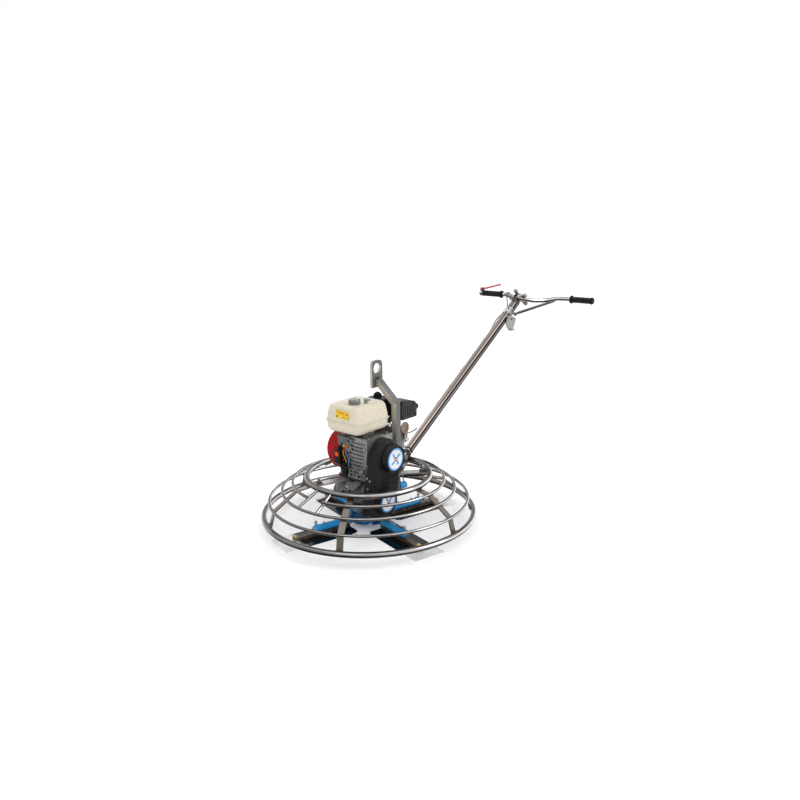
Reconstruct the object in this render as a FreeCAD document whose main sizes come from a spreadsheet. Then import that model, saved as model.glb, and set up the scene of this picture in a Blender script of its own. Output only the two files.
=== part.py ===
"""Walk-behind power trowel: ring guard, engine, worm gearbox, four pitching blades and a handle.

Frame: origin on the rotor axis at floor level, +Z up, +X towards the operator's handle.
The belt drive is on the -Y side of the engine and the recoil starter on the +Y side.
"""
import FreeCAD, Part
import math
import os
from FreeCAD import Placement, Rotation, Vector

DIMENSIONS = {
    # blades and rotor
    "blade_thick": 3.0, "blade_width": 152.0, "blade_inner": 105.0, "blade_outer": 460.0,
    "rib_width": 30.0, "rib_high": 19.0, "rib_outer": 385.0,
    "arm_dia": 26.0, "arm_axis_z": 35.0, "arm_outer": 288.0, "first_arm_angle": 75.0,
    "running_gap": 0.05, "hub_radius": 90.0, "hub_bottom": 18.0, "hub_top": 52.0,
    "shaft_dia": 38.0, "collar_bottom": 92.0, "collar_high": 11.9, "collar_radius": 88.0,
    "lever_at": 71.0, "lever_reach": 38.0,
    # guard
    "outer_ring_radius": 472.0, "outer_ring_z": 58.0, "tube_dia": 26.0, "rod_dia": 13.0,
    "lower_ring_radius": 446.0, "lower_ring_z": 127.0,
    "middle_ring_radius": 387.0, "middle_ring_z": 173.0,
    "upper_ring_radius": 339.0, "upper_ring_z": 209.0,
    "top_ring_radius": 275.0, "top_ring_z": 228.0,
    "window_half_angle": 8.0, "spoke_width": 28.0, "spoke_thick": 6.0,
    "mount_bolt_radius": 243.0, "mount_arm_width": 40.0, "mount_arm_z": 223.0, "mount_arm_thick": 8.0,
    # gearbox and frame plate
    "gearbox_radius": 148.0, "gearbox_low_radius": 85.0, "gearbox_bottom": 126.0,
    "gearbox_wall": 10.0, "cover_thick": 7.0, "guard_side": 93.0,
    "worm_x": -60.0, "worm_z": 147.0, "worm_radius": 18.0, "worm_house_radius": 40.0,
    "wheel_radius": 41.5, "wheel_thick": 28.0,
    "plate_thick": 8.0, "plate_top": 239.0, "plate_front": -106.0, "plate_rear": 150.0,
    "plate_left": 95.0, "plate_right": 92.0,
    # engine
    "crank_x": -20.0, "crank_z": 339.0, "crank_dia": 25.0,
    "case_front": -102.0, "case_rear": 62.0, "case_left": 75.0, "case_top": 425.0,
    "fan_radius": 97.0, "fan_face": 134.0, "recoil_face": 160.0, "recoil_radius": 84.0,
    "tank_front": -146.0, "tank_rear": 74.0, "tank_right": -78.0, "tank_left": 128.0,
    "tank_bottom": 440.0, "tank_seam": 494.0, "tank_top": 570.0, "tank_wall": 2.5,
    # belt drive
    "guard_face": 150.0, "guard_depth": 52.0, "guard_wall": 2.5, "guard_edge": 18.0,
    "upper_lobe_radius": 81.0, "lower_lobe_radius": 90.0,
    "clutch_seat": 38.0, "pulley_seat": 52.0, "belt_width": 13.0, "belt_high": 9.0,
    # handle
    "pivot_x": 230.0, "pivot_z": 234.0, "handle_rise": 33.0, "handle_length": 1192.0,
    "handle_width": 35.0, "handle_high": 30.0, "handle_wall": 2.5, "pivot_pin_dia": 16.0,
    "bar_dia": 22.0, "grip_dia": 33.0, "grip_inner": 223.0, "grip_outer": 350.0,
    "grip_x": 1434.0, "grip_z": 886.0, "eye_hole_dia": 47.0,
}

doc = FreeCAD.newDocument("power_trowel")
sheet = doc.addObject("Spreadsheet::Sheet", "dims")
for row, (alias, number) in enumerate(DIMENSIONS.items(), start=1):
    sheet.set("A%d" % row, str(number))
    sheet.setAlias("A%d" % row, alias)
doc.recompute()

X_AXIS = Vector(1, 0, 0)
Y_AXIS = Vector(0, 1, 0)
Z_AXIS = Vector(0, 0, 1)
node_labels = []


def dim(alias):
    """The number that the sheet holds under this alias."""
    return float(sheet.get(alias))


def along(axis):
    """The rotation that turns +Z to an axis."""
    return Rotation(Z_AXIS, axis)


def node(item, label):
    """Give a finished sub-part its own label, which also names its file."""
    item.Label = label
    node_labels.append(label)
    return item


def cylinder(name, radius, height, base, axis=Z_AXIS):
    item = doc.addObject("Part::Cylinder", name)
    item.setExpression("Radius", radius)
    item.setExpression("Height", height)
    item.Placement = Placement(base, along(axis))
    return item


def block(name, length, width, height, corner, turn=None):
    item = doc.addObject("Part::Box", name)
    item.setExpression("Length", length)
    item.setExpression("Width", width)
    item.setExpression("Height", height)
    item.Placement = Placement(corner, turn or Rotation())
    return item


def fuse(name, items):
    item = doc.addObject("Part::MultiFuse", name)
    item.Shapes = items
    return item


def cut(name, base, tools):
    tool = tools[0] if len(tools) == 1 else fuse(name + "_tools", tools)
    item = doc.addObject("Part::Cut", name)
    item.Base = base
    item.Tool = tool
    return item


def feature(name, shape, turn=0.0):
    """A sub-part whose shape is worked out in code from the sheet's numbers, turned about the rotor axis."""
    item = doc.addObject("Part::Feature", name)
    item.Shape = shape
    item.Placement = Placement(Vector(), Rotation(Z_AXIS, turn))
    return item


def solid_box(low, high):
    size = high - low
    return Part.makeBox(size.x, size.y, size.z, low)


def solid_rod(start, end, radius):
    line = end - start
    return Part.makeCylinder(radius, line.Length, start, line)


def polygon_plate(points, thickness):
    """A flat plate of the closed outline, pushed through by a thickness vector."""
    outline = Part.makePolygon(list(points) + [points[0]])
    return Part.Face(outline).extrude(thickness)


def joined(shapes):
    """One shape of several solids that touch or overlap."""
    result = shapes[0]
    for shape in shapes[1:]:
        result = result.fuse(shape)
    return result.removeSplitter()


def rounded_path(points, radii=None):
    """Straight runs joined by tangent arcs; an arc takes 0.45 of the shorter run beside it."""
    edges = []
    start = points[0]
    for before, corner, after in zip(points, points[1:], points[2:]):
        inward = (corner - before).normalize()
        outward = (after - corner).normalize()
        half_turn = inward.getAngle(outward) / 2
        reach = 0.45 * min((corner - before).Length, (after - corner).Length)
        radius = reach / math.tan(half_turn)
        if radii is not None:
            radii.append(radius)
        arc_start = corner - inward * reach
        arc_end = corner + outward * reach
        to_middle = (outward - inward).normalize()
        middle = corner + to_middle * (radius / math.cos(half_turn) - radius)
        edges.append(Part.LineSegment(start, arc_start).toShape())
        edges.append(Part.Arc(arc_start, middle, arc_end).toShape())
        start = arc_end
    edges.append(Part.LineSegment(start, points[-1]).toShape())
    return Part.Wire(edges)


def swept_tube(points, radius, radii=None):
    """A round bar swept along straight runs and tangent arcs."""
    path = rounded_path(points, radii)
    direction = points[1] - points[0]
    section = Part.Wire(Part.makeCircle(radius, points[0], direction))
    return path.makePipeShell([section], True, False)


def origin_plane(body, role):
    return [plane for plane in body.Origin.OriginFeatures if plane.Role == role][0]


def sketch_on(body, name, role, offset=0.0):
    sketch = body.newObject("Sketcher::SketchObject", name)
    sketch.AttachmentSupport = [(origin_plane(body, role), "")]
    sketch.MapMode = "FlatFace"
    sketch.AttachmentOffset = Placement(Vector(0, 0, offset), Rotation())
    return sketch


def add_rectangle(sketch, left, right, low, high):
    """A rectangle whose four sides are placed by sheet expressions."""
    import Sketcher
    corners = [Vector(0, 0, 0), Vector(9, 0, 0), Vector(9, 9, 0), Vector(0, 9, 0)]
    first = sketch.GeometryCount
    for start, end in zip(corners, corners[1:] + corners[:1]):
        sketch.addGeometry(Part.LineSegment(start, end))
    for side in range(4):
        sketch.addConstraint(Sketcher.Constraint("Coincident", first + side, 2, first + (side + 1) % 4, 1))
    sketch.addConstraint(Sketcher.Constraint("Horizontal", first))
    sketch.addConstraint(Sketcher.Constraint("Horizontal", first + 2))
    sketch.addConstraint(Sketcher.Constraint("Vertical", first + 1))
    sketch.addConstraint(Sketcher.Constraint("Vertical", first + 3))
    places = [("DistanceX", 0, left), ("DistanceX", 2, right), ("DistanceY", 0, low), ("DistanceY", 2, high)]
    for kind, corner, expression in places:
        index = sketch.addConstraint(Sketcher.Constraint(kind, -1, 1, first + corner, 1, 1.0))
        sketch.setExpression("Constraints[%d]" % index, expression)


def padded_sketch(body, sketch, length, symmetric=False):
    pad = body.newObject("PartDesign::Pad", sketch.Name + "_pad")
    pad.Profile = sketch
    pad.setExpression("Length", length)
    if symmetric:
        pad.SideType = "Symmetric"
    body.Tip = pad
    return pad


def revolved_body(name, profile):
    """A body turned about +Z from (radius, height) corners."""
    body = doc.addObject("PartDesign::Body", name)
    sketch = sketch_on(body, name + "_profile", "XZ_Plane")
    corners = [Vector(radius, height, 0) for radius, height in profile]
    for start, end in zip(corners, corners[1:] + corners[:1]):
        sketch.addGeometry(Part.LineSegment(start, end))
    turned = body.newObject("PartDesign::Revolution", name + "_turned")
    turned.Profile = sketch
    turned.ReferenceAxis = (sketch, ["V_Axis"])
    turned.Angle = 360
    body.Tip = turned
    return body


def polar(radius, degrees, height=0.0):
    angle = math.radians(degrees)
    return Vector(radius * math.cos(angle), radius * math.sin(angle), height)


# ---------------------------------------------------------------- ring guard

def full_ring(label, tube):
    ring = doc.addObject("Part::Torus", label)
    ring.setExpression("Radius1", "dims.%s_radius" % label)
    ring.setExpression("Radius2", "dims.%s / 2" % tube)
    ring.setExpression(".Placement.Base.z", "dims.%s_z" % label)
    node(ring, label)


def upper_ring_with_window():
    """The ring is left open at the front, where two short rods frame a window."""
    gap = dim("window_half_angle")
    radius = dim("rod_dia") / 2
    height = dim("upper_ring_z")
    centre = Vector(0, 0, height)
    arc = Part.makeTorus(dim("upper_ring_radius"), radius, centre, Z_AXIS, 0, 360, 360 - 2 * gap)
    arc.rotate(Vector(), Z_AXIS, 180 + gap)
    pieces = [arc]
    for side in (-1, 1):
        angle = 180 + side * gap
        upper_end = polar(dim("top_ring_radius") + 8, angle, dim("top_ring_z") - 4)
        lower_end = polar(dim("middle_ring_radius"), angle, dim("middle_ring_z"))
        pieces.append(solid_rod(upper_end, lower_end, radius))
    node(feature("upper_ring", joined(pieces)), "upper_ring")


def spoke_profile():
    """Centre line of a spoke, from the top ring down to the outer ring, just inside the rings."""
    lift = dim("spoke_thick") / 2
    tube = dim("tube_dia") / 2
    rod = dim("rod_dia") / 2
    rings = [("top_ring", tube), ("upper_ring", rod), ("middle_ring", rod), ("lower_ring", rod),
             ("outer_ring", tube)]
    centres = [Vector(dim(name + "_radius"), 0, dim(name + "_z")) for name, _ in rings]
    points = []
    for index, (_, radius) in enumerate(rings):
        before = centres[max(index - 1, 0)]
        after = centres[min(index + 1, len(rings) - 1)]
        run = (after - before).normalize()
        inward = Vector(run.z, 0, -run.x)
        points.append(centres[index] + inward * (radius + lift))
    return points


SPOKE_ANGLES = (153, 207, 273, 311, 49, 87)


def guard_spokes():
    half = dim("spoke_thick") / 2
    middle = spoke_profile()
    outer = []
    inner = []
    for index, point in enumerate(middle):
        run = (middle[min(index + 1, 4)] - middle[max(index - 1, 0)]).normalize()
        outward = Vector(-run.z, 0, run.x)
        outer.append(point + outward * half)
        inner.append(point - outward * half)
    width = dim("spoke_width")
    outline = [point - Vector(0, width / 2, 0) for point in outer + inner[::-1]]
    spoke = polygon_plate(outline, Vector(0, width, 0))
    spokes = []
    for angle in SPOKE_ANGLES:
        copy = spoke.copy()
        copy.rotate(Vector(), Z_AXIS, angle)
        spokes.append(copy)
    node(feature("guard_spokes", Part.makeCompound(spokes)), "guard_spokes")


MOUNT_ANGLES = (160.0, -160.0, 45.0, -45.0)


def top_ring_with_tabs():
    """The top ring and the four tabs by which it is bolted to the mounting arms."""
    shapes = [Part.makeTorus(dim("top_ring_radius"), dim("tube_dia") / 2, Vector(0, 0, dim("top_ring_z")))]
    low = dim("mount_arm_z") + dim("mount_arm_thick")
    for angle in MOUNT_ANGLES:
        inner_end = dim("mount_bolt_radius") - 13
        tab = solid_box(Vector(inner_end, -16, low), Vector(dim("top_ring_radius"), 16, low + 5))
        hole = Part.makeCylinder(5.5, 30, Vector(dim("mount_bolt_radius"), 0, low - 10))
        tab = tab.cut(hole)
        tab.rotate(Vector(), Z_AXIS, angle)
        shapes.append(tab)
    node(feature("top_ring", joined(shapes)), "top_ring")


def guard_arms():
    """Four flat bars from the gearbox's top to the guard's mounting bolts."""
    bars = []
    low = dim("mount_arm_z")
    half = dim("mount_arm_width") / 2
    reach = dim("top_ring_radius") - dim("tube_dia") / 2 - 1
    for angle in MOUNT_ANGLES:
        bar = solid_box(Vector(90, -half, low), Vector(reach, half, low + dim("mount_arm_thick")))
        bar = bar.cut(Part.makeCylinder(5.5, 30, Vector(dim("mount_bolt_radius"), 0, low - 10)))
        bar.rotate(Vector(), Z_AXIS, angle)
        bars.append(bar)
    node(feature("guard_arms", Part.makeCompound(bars)), "guard_arms")


def hex_bolt(head, tip, radius, head_high):
    """A bolt with a hexagon head at one end; the head sits behind the head point."""
    line = (tip - head).normalize()
    corners = [Vector(radius * 1.75 * math.cos(math.radians(60 * k)),
                      radius * 1.75 * math.sin(math.radians(60 * k)), 0) for k in range(7)]
    prism = Part.Face(Part.makePolygon(corners)).extrude(Vector(0, 0, head_high))
    prism.Placement = Placement(head - line * head_high, along(line))
    return prism.fuse(Part.makeCylinder(radius, (tip - head).Length, head, line)).removeSplitter()


def fasteners():
    """Guard mounting bolts, belt cover screws and the handle's pivot bolt."""
    bolts = []
    top = dim("mount_arm_z") + dim("mount_arm_thick") + 5
    for angle in MOUNT_ANGLES:
        bolts.append(hex_bolt(polar(dim("mount_bolt_radius"), angle, top),
                              polar(dim("mount_bolt_radius"), angle, top - 24), 5.5, 8))
    for place, outward in guard_screw_places():
        bolts.append(hex_bolt(place, place - outward * 7, 3, 4))
    pivot = Vector(dim("pivot_x"), -24, dim("pivot_z"))
    bolts.append(hex_bolt(pivot, pivot + Vector(0, 58, 0), dim("pivot_pin_dia") / 2, 10))
    node(feature("fasteners", Part.makeCompound(bolts)), "fasteners")


# ---------------------------------------------------------------- gearbox

def gearbox_housing():
    wall = dim("gearbox_wall")
    radius = dim("gearbox_radius")
    low = dim("gearbox_low_radius")
    bottom = dim("gearbox_bottom")
    arm_z = dim("mount_arm_z")
    plate_under = dim("plate_top") - dim("plate_thick")
    dome = revolved_body("gearbox_dome", [
        (0, bottom), (low, bottom), (low, 134), (104, 146), (132, 150), (137, 150), (137, 154), (133, 154),
        (133, 158), (141, 158), (141, 162), (138, 162), (radius, 169), (radius, 184),
        (radius - 3, 198), (radius - 12, 212), (radius - 30, arm_z), (88, arm_z), (88, plate_under),
        (0, plate_under)])
    hollow = revolved_body("gearbox_hollow", [
        (0, bottom - 1), (low - 2 * wall, bottom - 1), (low - 2 * wall, 168), (50, 168), (50, 210),
        (0, 210)])
    rim = revolved_body("gearbox_rim_hollow", [
        (60, 178), (radius - wall, 178), (radius - 24, 200), (radius - 48, arm_z - wall), (60, arm_z - wall)])
    worm_end = Vector(dim("worm_x"), -92, dim("worm_z"))
    worm = cylinder("worm_house", "dims.worm_house_radius", "218", worm_end, Y_AXIS)
    worm_hollow = cylinder("worm_hollow", "dims.worm_radius + 10", "136",
                           Vector(dim("worm_x"), -60, dim("worm_z")), Y_AXIS)
    worm_bore = cylinder("worm_bore", "22", "206", Vector(dim("worm_x"), -96, dim("worm_z")), Y_AXIS)
    flat_side = block("guard_clearance", "2 * dims.gearbox_radius", "100", "200",
                      Vector(-radius, -dim("guard_side") - 100, 100))
    ribs = []
    for k in range(4):
        ribs.append(cylinder("worm_rib_%d" % k, "dims.worm_house_radius + 2", "5",
                             Vector(dim("worm_x"), 60 + 16 * k, dim("worm_z")), Y_AXIS))
    body = fuse("gearbox_body", [dome, worm] + ribs)
    housing = cut("gearbox_housing", body, [hollow, rim, worm_hollow, worm_bore, flat_side])
    node(housing, "gearbox_housing")


def gearbox_cover():
    """Bottom cover with the output shaft's lower bearing seat."""
    bottom = dim("gearbox_bottom")
    plate = cylinder("cover_plate", "dims.gearbox_low_radius - 1", "dims.cover_thick",
                     Vector(0, 0, bottom - dim("cover_thick")))
    seat_radius = "dims.gearbox_low_radius - 2 * dims.gearbox_wall"
    seat = cylinder("cover_seat", seat_radius, "6", Vector(0, 0, bottom))
    bore = cylinder("cover_bore", "dims.shaft_dia / 2 + dims.running_gap", "60", Vector(0, 0, bottom - 20))
    pocket = cylinder("cover_pocket", "40", "20", Vector(0, 0, bottom))
    lugs = []
    for side in (-1, 1):
        name = "yoke_lug_%d" % (side + 1)
        corner = Vector(20, side * 76 - 4, bottom - dim("cover_thick"))
        lugs.append(block(name, "114", "8", "dims.cover_thick", corner))
        lugs.append(block(name + "_ear", "34", "8", "24", corner + Vector(80, 0, 0)))
    body = fuse("cover_body", [plate, seat] + lugs)
    pin_hole = cylinder("yoke_pin_hole", "5", "200", Vector(125, -100, 131), Y_AXIS)
    tunnel = cylinder("cover_tunnel", "dims.worm_house_radius + 2", "218",
                      Vector(dim("worm_x"), -92, dim("worm_z")), Y_AXIS)
    node(cut("gearbox_cover", body, [bore, pocket, pin_hole, tunnel]), "gearbox_cover")


def ring_solid(outer, inner, thick, base, axis):
    body = Part.makeCylinder(outer, thick, base, axis)
    return body.cut(Part.makeCylinder(inner, thick, base, axis))


def bearings():
    gap = dim("running_gap")
    shaft = dim("shaft_dia") / 2 + gap
    worm = Vector(dim("worm_x"), 0, dim("worm_z"))
    crank = Vector(dim("crank_x"), 0, dim("crank_z"))
    crank_bore = dim("crank_dia") / 2 + gap
    rings = [
        ring_solid(40, shaft, 6, Vector(0, 0, dim("gearbox_bottom")), Z_AXIS),
        ring_solid(50, shaft, 14, Vector(0, 0, 176), Z_AXIS),
        ring_solid(22, 10 + gap, 14, worm + Vector(0, -78, 0), Y_AXIS),
        ring_solid(22, 10 + gap, 14, worm + Vector(0, 84, 0), Y_AXIS),
        ring_solid(26, crank_bore, 14, crank + Vector(0, -88, 0), Y_AXIS),
        ring_solid(26, crank_bore, 14, crank + Vector(0, 61, 0), Y_AXIS),
    ]
    node(feature("bearings", Part.makeCompound(rings)), "bearings")


def frame_plate():
    body = doc.addObject("PartDesign::Body", "frame_plate_body")
    sketch = sketch_on(body, "frame_plate_sketch", "XY_Plane", dim("plate_top") - dim("plate_thick"))
    add_rectangle(sketch, "dims.plate_front", "dims.plate_rear", "-dims.plate_right", "dims.plate_left")
    pad = padded_sketch(body, sketch, "dims.plate_thick")
    doc.recompute()
    chamfer = body.newObject("PartDesign::Chamfer", "frame_plate_corners")
    chamfer.Base = (pad, vertical_edges(pad.Shape))
    chamfer.Size = 14
    body.Tip = chamfer
    node(body, "frame_plate")


def vertical_edges(shape):
    names = []
    for index, edge in enumerate(shape.Edges, start=1):
        ends = [vertex.Point for vertex in edge.Vertexes]
        if len(ends) == 2 and abs((ends[1] - ends[0]).normalize().z) > 0.99:
            names.append("Edge%d" % index)
    return names


# ---------------------------------------------------------------- engine

def crankcase():
    crank = Vector(dim("crank_x"), 0, dim("crank_z"))
    front = dim("case_front")
    low = Vector(front, -92, dim("plate_top"))
    case = block("case_block", "dims.case_rear - dims.case_front", "dims.case_left + 92",
                 "dims.case_top - dims.plate_top", low)
    side = cylinder("case_side", "92", "16", crank + Vector(0, -92, 0), Y_AXIS)
    ribs = [block("case_rib_%d" % k, "8", "104", "5", Vector(front - 8, -88, dim("plate_top") + 22 + 17 * k))
            for k in range(9)]
    hollow = cylinder("case_hollow", "64", "117", crank + Vector(0, -72, 0), Y_AXIS)
    sump = block("case_sump", "110", "120", "60", Vector(-76, -74, dim("plate_top") + 10))
    bore = cylinder("case_bore", "26", "300", crank + Vector(0, -150, 0), Y_AXIS)
    stays = [block("tank_stay_%d" % k, "70", "10", "dims.tank_bottom - dims.case_top + 6",
                   Vector(-72, -44 + 84 * k, dim("case_top") - 6)) for k in range(2)]
    body = fuse("case_body", [case, side] + ribs + stays)
    node(cut("crankcase", body, [hollow, sump, bore]), "crankcase")


def cylinder_head():
    """Finned cylinder, head and valve cover on the operator's side of the crankcase, with the plug."""
    rear = dim("case_rear")
    crank_z = dim("crank_z")
    barrel = solid_box(Vector(rear, -44, crank_z - 42), Vector(rear + 118, 52, crank_z + 60))
    bore = Part.makeCylinder(34, 80, Vector(rear - 1, 4, crank_z + 8), X_AXIS)
    shapes = [barrel.cut(bore)]
    for k in range(9):
        fin_x = rear + 8 + 11 * k
        shapes.append(solid_box(Vector(fin_x, -58, crank_z - 56), Vector(fin_x + 4, 64, crank_z + 74)))
    cover = solid_box(Vector(rear + 118, -46, crank_z - 30), Vector(rear + 142, 40, crank_z + 44))
    face_edges = [edge for edge in cover.Edges if edge.BoundBox.XMin > rear + 141]
    shapes.append(cover.makeFillet(8, face_edges))
    shapes.append(Part.makeCylinder(7, 34, Vector(rear + 118, 46, crank_z + 52), Vector(1, 0.5, 0.2)))
    node(feature("cylinder_head", joined(shapes)), "cylinder_head")


def fan_housing():
    """Sheet shroud round the flywheel, open towards the crankcase and, in front, at the recoil cover."""
    crank = Vector(dim("crank_x"), 0, dim("crank_z"))
    depth = "dims.fan_face - dims.case_left - 1"
    start = crank + Vector(0, dim("case_left") + 1, 0)
    drum = cylinder("fan_drum", "dims.fan_radius", depth, start, Y_AXIS)
    duct = block("fan_duct", "84", depth, "96", start + Vector(20, 0, -26))
    drum_hollow = cylinder("fan_drum_hollow", "dims.fan_radius - 2.5", "dims.fan_face - dims.case_left - 3.5",
                           start, Y_AXIS)
    duct_hollow = block("fan_duct_hollow", "81.5", "dims.fan_face - dims.case_left - 3.5", "91",
                        start + Vector(20, 0, -23.5))
    mouth = cylinder("fan_mouth", "62", "20", crank + Vector(0, dim("fan_face") - 10, 0), Y_AXIS)
    shell = fuse("fan_shell", [drum, duct])
    node(cut("fan_housing", shell, [drum_hollow, duct_hollow, mouth]), "fan_housing")


def recoil_cover():
    crank = Vector(dim("crank_x"), 0, dim("crank_z"))
    start = crank + Vector(0, dim("fan_face"), 0)
    cup = Part.makeCylinder(dim("recoil_radius"), dim("recoil_face") - dim("fan_face"), start, Y_AXIS)
    rim = [edge for edge in cup.Edges if edge.BoundBox.YMin > dim("recoil_face") - 1 and edge.Length > 100]
    cup = cup.makeFillet(12, rim)
    depth = dim("recoil_face") - dim("fan_face")
    hollow = Part.makeCylinder(dim("recoil_radius") - 2.5, depth - 2.5, start, Y_AXIS)
    hollow = hollow.makeFillet(10, [edge for edge in hollow.Edges
                                    if edge.BoundBox.YMin > dim("recoil_face") - 3 and edge.Length > 100])
    cup = cup.cut(hollow)
    slots = []
    for k in range(18):
        slot = solid_box(Vector(34, dim("recoil_face") - 8, -3), Vector(66, dim("recoil_face") + 1, 3))
        slot.rotate(Vector(), Y_AXIS, 20 * k)
        slot.translate(Vector(crank.x, 0, crank.z))
        slots.append(slot)
    rope_hole = Part.makeCylinder(4, 40, crank + Vector(62, 146, 46), Vector(0.8, 0, 0.6))
    node(feature("recoil_cover", cup.cut(slots + [rope_hole])), "recoil_cover")


def lofted(sections):
    wires = [Part.makePolygon(points + points[:1]) for points in sections]
    return Part.makeLoft(wires, True, True)


def tank_outline(inset, height):
    """A rectangle with rounded corners, drawn in by an inset from the tank's seam."""
    left = dim("tank_front") + inset
    right = dim("tank_rear") - inset
    low = dim("tank_right") + inset
    high = dim("tank_left") - inset
    bend = 24
    points = []
    for x, y, start in ((right - bend, low + bend, -90), (right - bend, high - bend, 0),
                        (left + bend, high - bend, 90), (left + bend, low + bend, 180)):
        points += [Vector(x, y, height) + polar(bend, start + 22.5 * k) for k in range(5)]
    return points


def fuel_tank():
    """Two pressed shells with a seam flange; the neck takes a quarter-turn cap."""
    seam = dim("tank_seam")
    top = dim("tank_top")
    bottom = dim("tank_bottom")
    wall = dim("tank_wall")
    outside = lofted([tank_outline(26, bottom), tank_outline(9, bottom + 12), tank_outline(5, seam)])
    upper = [tank_outline(5, seam), tank_outline(13, top - 20), tank_outline(18, top - 8), tank_outline(32, top)]
    outside = outside.fuse(lofted(upper))
    inside = lofted([tank_outline(26 + wall, bottom + wall), tank_outline(9 + wall, bottom + 12),
                     tank_outline(5 + wall, seam)])
    lining = [tank_outline(5 + wall, seam), tank_outline(13 + wall, top - 20),
              tank_outline(18 + wall, top - 8 - wall), tank_outline(32 + wall, top - wall)]
    inside = inside.fuse(lofted(lining))
    flange_wire = Part.makePolygon(tank_outline(0, seam - 1.5) + tank_outline(0, seam - 1.5)[:1])
    flange = Part.Face(flange_wire).extrude(Vector(0, 0, 3))
    neck = Part.makeCylinder(19, 10, cap_place() - Vector(0, 0, 6))
    mouth = Part.makeCylinder(16, 20, cap_place() - Vector(0, 0, 10))
    tank = outside.fuse(flange).fuse(neck).cut(inside).cut(mouth)
    node(feature("fuel_tank", tank.removeSplitter()), "fuel_tank")


def cap_place():
    return Vector(-80, 0, dim("tank_top"))


def fuel_cap():
    seat = cap_place()
    cap = Part.makeCylinder(26, 20, seat + Vector(0, 0, 1))
    cap = cap.cut(Part.makeCylinder(19.08, 4, seat + Vector(0, 0, 0.9)))
    cap = cap.makeFillet(4, [edge for edge in cap.Edges if edge.BoundBox.ZMin > seat.z + 20.5])
    teeth = [Part.makeCylinder(2.2, 14, seat + polar(26.6, 15 * k, 3)) for k in range(24)]
    node(feature("fuel_cap", cap.cut(teeth)), "fuel_cap")


CLEANER_CENTRE = Vector(134, 56, 0)


def carburettor():
    """Intake elbow, throttle body and float bowl between the cylinder and the air cleaner."""
    body = solid_box(Vector(104, 64, 385), Vector(148, 105, 420))
    bowl = Part.makeCylinder(20, 22, Vector(126, 85, 363))
    elbow = solid_box(Vector(112, 65, 420), Vector(142, 95, 432))
    node(feature("carburettor", joined([body, bowl, elbow])), "carburettor")


def air_cleaner_cover():
    centre = CLEANER_CENTRE
    low = 432
    shell = solid_box(Vector(82, 4, low), Vector(198, 112, 538))
    uprights = [edge for edge in shell.Edges if abs(edge.tangentAt(edge.FirstParameter).z) > 0.99]
    shell = shell.makeFillet(24, uprights)
    dome = Part.makeCylinder(50, 10, centre + Vector(0, 0, 538))
    dome = dome.makeFillet(8, [edge for edge in dome.Edges if edge.BoundBox.ZMin > 547.5])
    hollow = solid_box(Vector(85, 7, low + 3), Vector(195, 109, 535))
    stud = Part.makeCylinder(4, 22, centre + Vector(0, 0, 546))
    node(feature("air_cleaner_cover", shell.fuse(dome).cut(hollow).fuse(stud)), "air_cleaner_cover")


def cleaner_knob():
    """Three-lobed knob that holds the air cleaner's cover."""
    foot = CLEANER_CENTRE + Vector(0, 0, 549)
    shapes = [Part.makeCylinder(15, 17, foot)]
    for k in range(6):
        shapes.append(Part.makeCylinder(5, 17, foot + polar(14, 60 * k)))
    shapes.append(Part.makeCone(15, 9, 7, foot + Vector(0, 0, 17)))
    knob = joined(shapes).cut(Part.makeCylinder(4.05, 19.5, foot - Vector(0, 0, 0.1)))
    node(feature("cleaner_knob", knob), "cleaner_knob")


def muffler():
    outline = [(124, 464), (232, 464), (232, 522), (218, 538), (156, 552), (124, 552)]
    box = polygon_plate([Vector(x, -94, z) for x, z in outline], Vector(0, 84, 0))
    box = box.makeFillet(7, [edge for edge in box.Edges if abs(edge.tangentAt(edge.FirstParameter).y) > 0.99])
    inner = [(129, 469), (227, 469), (227, 519), (215, 533), (155, 547), (129, 547)]
    inside = polygon_plate([Vector(x, -90, z) for x, z in inner], Vector(0, 76, 0))
    foot = Vector(160, -40, dim("crank_z") + 74)
    pipe = Part.makeCylinder(14, 466 - foot.z, foot).cut(Part.makeCylinder(11, 60, foot))
    outlet = Part.makeCylinder(13, 14, Vector(232, -79, 506), X_AXIS)
    outlet_bore = Part.makeCylinder(9, 30, Vector(222, -79, 506), X_AXIS)
    shell = box.fuse(pipe).fuse(outlet).cut(inside).cut(outlet_bore)
    node(feature("muffler", shell.removeSplitter()), "muffler")


def switch_box():
    low = Vector(dim("case_front") - 34, 44, 300)
    box = solid_box(low, low + Vector(26, 30, 62))
    box = box.makeFillet(3, box.Edges)
    recess = solid_box(low + Vector(-1, 6, 34), low + Vector(10, 24, 56))
    lamp = Part.makeCylinder(8, 16, low + Vector(10, 15, 62))
    pin_hole = Part.makeCylinder(2 + dim("running_gap"), 24.4, low + Vector(5, 2.8, 45), Y_AXIS)
    node(feature("switch_box", box.cut(recess).cut(pin_hole).fuse(lamp)), "switch_box")


def switch_button():
    """Rocker that tips in the switch box's recess."""
    low = Vector(dim("case_front") - 34, 44, 300)
    profile = [(-3, 36), (-7, 54), (5, 54), (8, 45), (5, 36)]
    points = [low + Vector(x, 7, z) for x, z in profile]
    pin = Part.makeCylinder(2, 24, low + Vector(5, 3, 45), Y_AXIS)
    node(feature("switch_button", joined([polygon_plate(points, Vector(0, 16, 0)), pin])), "switch_button")


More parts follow.
